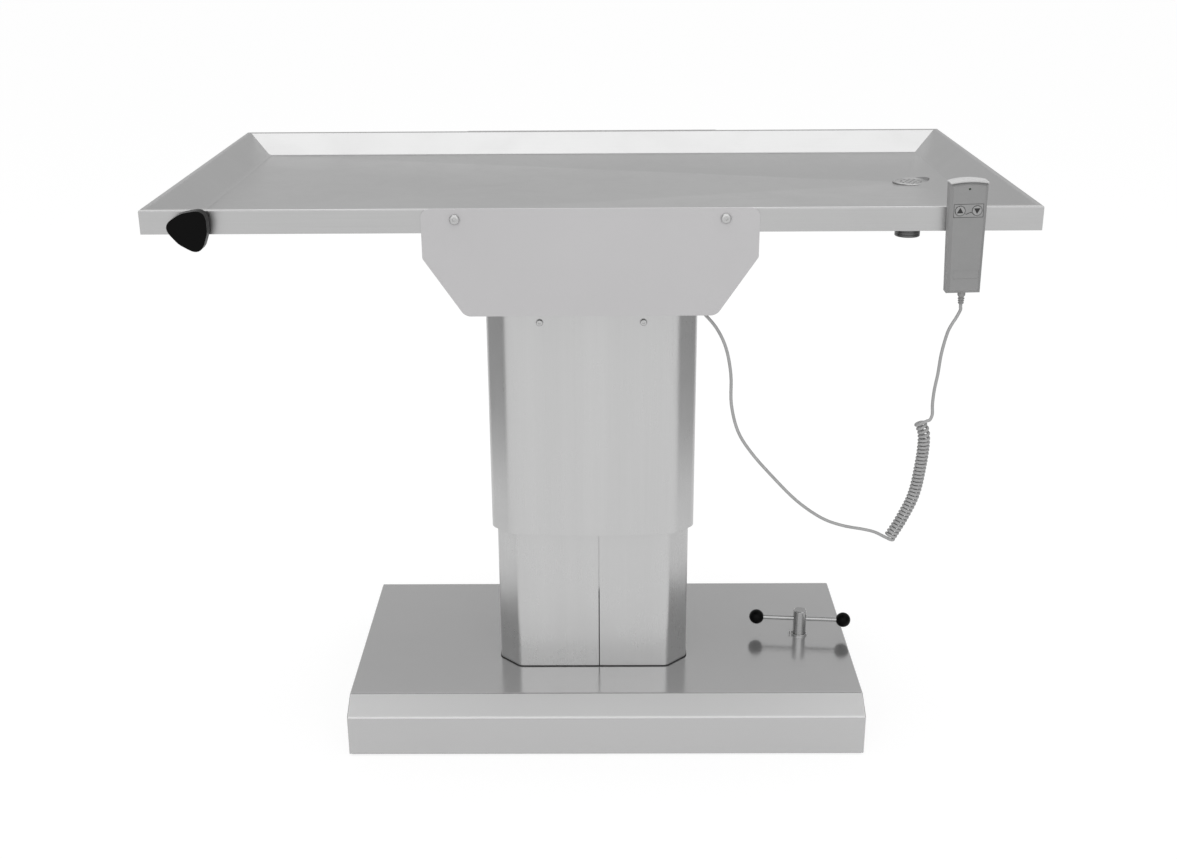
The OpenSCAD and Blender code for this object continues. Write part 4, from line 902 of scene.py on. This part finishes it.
# Jack handle
# A bright turned post that stands out of the base, with a cross bar pushed through it and
# pinned, a black plastic ball screwed on each end, and a low collar with an ear at its foot.
shaft_steel = turned("shaft_steel", 0.46, 0.2)
knob_black = rubbery("knob_black", 0.0015, 0.24, 0.08)
post = lathe("jack_screw", [(0, 0.136), (0.0094, 0.136), (0.0106, 0.1352), (0.011, 0.134), (0.011, 0.0736),
    (0.0157, 0.0732), (0.016, 0.0728), (0.016, 0.0708), (0.0157, 0.0704), (0.0078, 0.07), (0.0078, 0.0206),
    (0.006, 0.0204), (0.006, 0.0106), (0.0052, 0.0102), (0, 0.0102)], (jack_x, 0))
turn = Matrix.Translation((jack_x, 0, 0)) @ Matrix.Rotation(math.radians(-5), 4, "Z")
bar_z, bar_half = 0.12, 0.0735
tip, tail = turn @ Vector((bar_half, 0, bar_z)), turn @ Vector((-bar_half, 0, bar_z))
cut(post, rod(0.00405, tail, tip, 32))
dress(post, shaft_steel, "jack", "shaft_steel", "jack_screw")
cross = rod(0.004, tail, tip, 40, "handle_bar")
soften(cross, 0.0004)
dress(cross, shaft_steel, "jack", "shaft_steel", "handle_bar")
ball_r = 0.0125
ball = lathe("handle_ball", [(0, bar_z - ball_r)] + [(ball_r * math.sin(math.pi * k / 24),
    bar_z - ball_r * math.cos(math.pi * k / 24)) for k in range(1, 24)] + [(0, bar_z + ball_r)], (tip.x, tip.y))
cut(ball, rod(0.0044, tail, tip.lerp(tail, -0.003), 32))
soften(ball, 0.0003, angle=40)
dress(copy_of(ball, "handle_ball_b", Matrix.Translation((jack_x, 0, 0)) @ Matrix.Rotation(math.pi, 4, "Z")
    @ Matrix.Translation((-jack_x, 0, 0))), knob_black, "jack", "knob_black", "handle_balls")
dress(ball, knob_black, "jack", "knob_black", "handle_balls")
collar = lathe("handle_collar", [(0.0114, 0.09), (0.0135, 0.09), (0.0135, 0.0922), (0.0127, 0.093), (0.0116, 0.093),
    (0.0114, 0.0928), (0.0114, 0.09)], (jack_x, 0))
ear = lathe("ear", [(0, 0.09), (0.0025, 0.09), (0.0025, 0.0952), (0.0017, 0.096), (0, 0.096)], (0.33825, 0), 24)
cut(collar, ear, "UNION")
shade(collar)
dress(collar, bolt_steel, "base", "bolt_steel", "handle_collar")

# Handset
# A slim moulded handset: two grey shells with bevelled sides, a pale arched end cap, a sunk
# window with two round push buttons, a small status lens, a ribbed strain relief for its
# cord, and a bent steel hook over the tray's rim. It leans a little to one side.


def moulded(name, tone, gloss, grain_size=1400, depth=0.12):
    """Moulded plastic: a fine eroded grain and a slightly polished, handled surface."""
    look = Look(bpy.data.materials.new(name))
    place = look.place()
    handled = look.noise(place, 35, 5, 0.65)
    eroded = look.noise(place, grain_size, 2)
    look.surface({
        "Base Color": look.between(handled, grey(tone * 0.93), grey(tone * 1.07)),
        "Roughness": gloss - 0.06 + 0.16 * handled,
        "Normal": look.bump(eroded, depth, 0.0002)})
    return look.owner


handset_grey = moulded("handset_grey", 0.31, 0.42)
cap_grey = moulded("cap_grey", 0.62, 0.36)
panel_grey = moulded("panel_grey", 0.33, 0.34)
half_h, top_half, foot_half = 0.073, 0.025, 0.0225
back_y, front_y = mid_y + 0.011, mid_y - 0.011
lean = Matrix.Translation((handset_x, 0, handset_z)) @ Matrix.Rotation(tilt, 4, "Y")
arch_shares = [k / 8 for k in range(-8, 9)]
button_x, button_z, button_hole = 0.011, 0.0385, 0.00625
lens_z = half_h - 0.006
window_corners = [(-0.0194, 0.0296), (0.0194, 0.0296), (0.0194, 0.0474), (-0.0194, 0.0474)]


def leaned(piece):
    """Puts a piece that was built upright about the origin in its leaning place."""
    work_on(piece)
    piece.matrix_world = lean
    bpy.ops.object.transform_apply(location=True, rotation=True, scale=True)
    return piece


def slab(name, outline, y0, y1):
    """A plate between two depths with the given outline of (x, z) points."""
    piece, shape = blank(name)
    shape.faces.new([shape.verts.new((x, y0, z)) for x, z in outline])
    bmesh.update_edit_mesh(piece.data)
    bpy.ops.mesh.select_all(action="SELECT")
    pull(0, y1 - y0, 0)
    face_out()
    bpy.ops.object.mode_set(mode="OBJECT")
    return piece


def body_outline(inset):
    top, foot = top_half - inset, foot_half - inset
    return [(foot, -half_h + inset), (-foot, -half_h + inset)] + [
        (s * top, half_h + 0.0025 * (1 - s * s) - inset) for s in arch_shares]


shell = slab("handset_front", body_outline(0), front_y, mid_y - 0.0001)
edit(shell)
bend(lambda c, d: near(c.y, front_y), 0.0042, 1)
cut(shell, slab("hollow", body_outline(0.0064), front_y + 0.0024, mid_y + 0.001))
cut(shell, bar((-0.0195, front_y - 0.001, 0.0295), (0.0195, front_y + 0.0008, 0.0475)))
for x in (-button_x, button_x):
    cut(shell, rod(button_hole, (x, front_y - 0.001, button_z), (x, front_y + 0.004, button_z), 48))
cut(shell, rod(0.00155, (0, front_y - 0.001, lens_z), (0, front_y + 0.005, lens_z), 24))
cut(shell, bar((-0.0155, front_y - 0.001, -0.053), (0.0185, front_y + 0.0005, -0.041)))
soften(shell, 0.00035, angle=40)
dress(leaned(shell), handset_grey, "handset", "handset_grey", "handset_front")

rear = slab("handset_back", body_outline(0), mid_y + 0.0001, back_y)
edit(rear)
bend(lambda c, d: near(c.y, back_y), 0.0022, 3)
cut(rear, slab("hollow", body_outline(0.0024), mid_y - 0.001, back_y - 0.0024))
soften(rear, 0.00035, angle=40)
dress(leaned(rear), handset_grey, "handset", "handset_grey", "handset_back")

cap = slab("handset_cap", [(s * top_half, half_h + 0.0025 * (1 - s * s) + 0.0001) for s in arch_shares]
    + [(-s * 0.0255, half_h + 0.0032 * (1 - s * s) + 0.0028) for s in arch_shares], front_y, back_y)
soften(cap, 0.0014, 5, 40)
dress(leaned(cap), cap_grey, "handset", "cap_grey", "handset_cap")

panel = slab("button_panel", window_corners, front_y + 0.0001, front_y + 0.0008)
for x in (-button_x, button_x):
    cut(panel, rod(button_hole, (x, front_y - 0.001, button_z), (x, front_y + 0.004, button_z), 48))
soften(panel, 0.0002, angle=40)
dress(leaned(panel), panel_grey, "handset", "panel_grey", "button_panel")

# Printed on the window: a short curved travel mark between the buttons
# Black for the printed mark and the arrows, also used as painted shade round the window and the buttons
ink_and_painted_shade = rubbery("mark_ink", 0.012, 0.4)
clear()
bpy.ops.mesh.primitive_plane_add(size=1, location=(0, front_y + 0.00006, 0.0352), rotation=(math.pi / 2, 0, 0))
bpy.context.object.scale = (0.0006, 0.0009, 1)
mark = begin("travel_mark")
edit(mark)
for side in (-1, 1):
    for x, z in ((0.0022, 0.0012), (0.0016, -0.0006)):
        end = max(side * corner.co.x for corner in bmesh.from_edit_mesh(mark.data).verts)
        pick("EDGE", lambda c, d: abs(d.z) > 0.5 and side * c.x > end - 0.0001)
        pull(side * x, 0, side * z)
face_out()
modify(mark, "SOLIDIFY", thickness=0.00006, offset=0)
dress(leaned(mark), ink_and_painted_shade, "handset", "panel_grey")

# Painted shade: a thin dark line along the window's sunk edge and a ring round each button, in the same black as the
# print, stand in for the shade in their gaps
window_shade_line = slab("window_line", window_corners, front_y + 0.00002, front_y + 0.00008)
cut(window_shade_line, bar((-0.0189, front_y - 0.001, 0.0301), (0.0189, front_y + 0.001, 0.0469)))
dress(leaned(window_shade_line), ink_and_painted_shade, "handset", "panel_grey")
for side in (-1, 1):
    clear()
    bpy.ops.mesh.primitive_torus_add(major_radius=0.00675, minor_radius=0.0002, major_segments=48, minor_segments=8,
        location=(side * button_x, front_y + 0.0001, button_z), rotation=(math.pi / 2, 0, 0))
    dress(leaned(begin("button_ring")), ink_and_painted_shade, "handset", "panel_grey")

# A button: a flanged cap with a shallow dished face and its raised black arrow
button_tone = moulded("button_grey", 0.38, 0.3)
seat_y = front_y + 0.0027
for name, side, body in (("up_button", -1, "button_up"), ("down_button", 1, "button_down")):
    clear()
    bpy.ops.mesh.primitive_cylinder_add(vertices=48, radius=0.006, depth=seat_y - front_y + 0.0016,
        location=(side * button_x, (front_y + seat_y + 0.0008) / 2, button_z), rotation=(math.pi / 2, 0, 0))
    button = begin(name)
    edit(button)
    pick("FACE", lambda c, n: n.y < -0.9)
    bpy.ops.mesh.inset(thickness=0.0007)
    bpy.ops.mesh.inset(thickness=0.0008)
    bpy.ops.transform.translate(value=(0, 0.00025, 0))
    pick("FACE", lambda c, n: n.y > 0.9)
    pull(0, 0, 0)
    bpy.ops.transform.resize(value=(6.8 / 6, 1, 6.8 / 6), center_override=(side * button_x, seat_y, button_z))
    pull(0, 0.0008, 0)
    soften(button, 0.0002, angle=40)
    dress(leaned(button), button_tone, body, "panel_grey", name)
    clear()
    bpy.ops.mesh.primitive_circle_add(vertices=3, radius=0.0048, fill_type="NGON",
        location=(side * button_x, front_y - 0.0002, button_z + side * 0.0006),
        rotation=(math.pi / 2, 0 if side < 0 else math.pi, 0))
    arrow = begin(name + "_arrow")
    edit(arrow)
    bpy.ops.mesh.select_all(action="SELECT")
    bpy.ops.mesh.bevel(offset=0.0005, segments=3, affect="VERTICES")
    face_out()
    modify(arrow, "SOLIDIFY", thickness=0.0003, offset=0)
    dress(leaned(arrow), ink_and_painted_shade, body, "panel_grey")

lens_look = Look(bpy.data.materials.new("light_lens"))
lens_place = lens_look.place()
lens_look.surface({
    "Base Color": lens_look.between(lens_look.noise(lens_place, 900),
        (0.02, 0.035, 0.02, 1), (0.06, 0.09, 0.06, 1)),
    "Roughness": 0.12})
lens = rod(0.0015, (0, front_y - 0.0001, lens_z), (0, front_y + 0.0048, lens_z), 32, "status_light")
edit(lens)
pick("FACE", lambda c, n: n.y < -0.9)
bpy.ops.mesh.bevel(offset=0.0006, segments=4, affect="EDGES")
shade(lens)
dress(leaned(lens), lens_look.owner, "handset", "light_lens", "status_light")

ribs = []
for k in range(3):
    r, z = 0.0038 + 0.0003 * k, 0.003 * k - half_h - 0.0166
    ribs += [(0.0031, z), (r, z + 0.0004), (r, z + 0.0016), (0.0031, z + 0.002)]
relief = lathe("strain_relief", [(0, -half_h - 0.017), (0.003, -half_h - 0.017), (0.0032, -half_h - 0.0168)] + ribs
    + [(0.0033, -half_h - 0.0078), (0.005, -half_h - 0.0052), (0.0052, -half_h - 0.0046), (0.0052, -half_h),
    (0, -half_h)], (0, mid_y), 32)
dress(leaned(relief), handset_grey, "handset", "handset_grey", "strain_relief")

# Tie-down knob
# A glossy black three-lobed knob on a threaded stud at the left end of the front apron.
lobes = []
for k in range(72):
    a = math.radians(5 * k)
    lobe = a - math.radians(70)
    r = 0.0261 + 0.0031 * math.cos(3 * lobe) + 0.00075 * math.cos(6 * lobe)
    lobes.append((knob_x + r * math.cos(a), knob_z - r * math.sin(a)))
knob_back = -0.3289
knob = slab("tie_knob", lobes, knob_back - 0.019, knob_back - 0.002)
edit(knob)
pick("FACE", lambda c, n: n.y < -0.9)
bpy.ops.mesh.inset(thickness=0.0045)
cut(knob, rod(0.011, (knob_x, knob_back - 0.0025, knob_z), (knob_x, knob_back, knob_z), 48), "UNION")
cut(knob, rod(0.0041, (knob_x, knob_back - 0.0119, knob_z), (knob_x, knob_back + 0.001, knob_z), 32))
soften(knob, 0.0042, 6, 50, 40)
dress(knob, knob_black, "knob", "knob_black", "tie_knob")

# Under frame and head
# Channels folded from steel sheet and welded saddle plates carry the tray, with bushes and a
# quadrant on the tilt shaft and the head's cheeks below. All is mill-finished stainless, but
# for the bright shaft and lever, the bronze bushes and the rubber ring under the drain.


def eased(name, look, width, segments=2):
    """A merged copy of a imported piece, with its edges eased, that stands for it."""
    source = frame["nodes"][name]
    piece = bpy.data.objects.new(name + "_eased", source.data.copy())
    piece.data.name = piece.name
    scene.collection.objects.link(piece)
    edit(piece)
    bpy.ops.mesh.select_all(action="SELECT")
    bpy.ops.mesh.remove_doubles(threshold=0.00001)
    bpy.ops.mesh.dissolve_limited(angle_limit=0.015)
    face_out()
    soften(piece, width, segments, 40, 35)
    dress(piece, look, source["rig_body"], look.name.split(".")[0], name)


def finish(look, *names):
    """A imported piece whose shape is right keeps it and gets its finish."""
    for name in names:
        for place in frame["nodes"][name].material_slots:
            place.link = "OBJECT"
            place.material = look


frame_steel = brushed("frame_steel", 0.46, 0.4, (60, 60, 60), depth=0.5)
bronze = turned("bronze", 0.6, 0.34, tint=(1, 0.72, 0.38))
for name in ("cross_channels", "saddle_plates", "tilt_quadrant", "head_frame"):
    eased(name, frame_steel, 0.0007)
eased("tilt_bushes", bronze, 0.0006)
eased("tilt_shaft", shaft_steel, 0.0008)
finish(shaft_steel, "clamp_lever")
finish(black_rubber, "drain_gasket")

# Small parts of the top
# A bent steel hook carries the handset on the rim, and the tie-down knob sits on a threaded
# stud with its bush in the apron and a pressure disc behind it.
eased("handset_hook", shaft_steel, 0.0003)
finish(shaft_steel, "knob_stud", "clamp_disc")
finish(bronze, "stud_bush")

# Control unit
# A closed moulded box behind the front plate, bolted to the channels, with a nylon gland
# from which the handset's cord comes.
box_plastic = moulded("box_plastic", 0.06, 0.5, 900, 0.25)
eased("control_box", box_plastic, 0.0015, 3)
gland_plastic = moulded("gland_plastic", 0.02, 0.4)
finish(gland_plastic, "cable_gland")

# Lift
# Two nested masts of drawn steel tube with waxy glide pads between them, and inside them a
# linear actuator: a painted body and motor, and a ground steel rod.
mast_steel = brushed("mast_steel", 0.42, 0.38, (500, 500, 6), wear=0.08)
for name in ("upper_mast", "lower_mast"):
    eased(name, mast_steel, 0.0008)
finish(moulded("glide_plastic", 0.7, 0.4), "glide_pads")
finish(coated("actuator_paint", 0.07, 0.4, 0.2), "actuator_body", "actuator_motor")
finish(shaft_steel, "actuator_rod")

# Base frame and inlet
# A welded steel plate frame with its posts, painted dark grey, on rubber-faced pads, and a
# moulded appliance inlet in the rear skirt.
base_paint = coated("base_paint", 0.09, 0.5, 0.25)
eased("base_frame", base_paint, 0.0008)
eased("mains_inlet", gland_plastic, 0.0005)

# Wheel jack
# The screw's bridge and the carrier are painted steel, the forks and brackets pressed and
# bright zinc plated, and the four wheels dark solid rubber.
eased("jack_bridge", base_paint, 0.0006)
eased("castor_carrier", base_paint, 0.0006)
zinc = turned("zinc", 0.5, 0.3)
for name in ("castor_fork_front", "castor_fork_rear", "roller_brackets"):
    eased(name, zinc, 0.0004)
wheel_rubber = rubbery("wheel_rubber", 0.03, 0.5)
for name in ("castor_wheel_front", "castor_wheel_rear", "roller_wheel_front", "roller_wheel_rear"):
    eased(name, wheel_rubber, 0.0012, 3)

import json
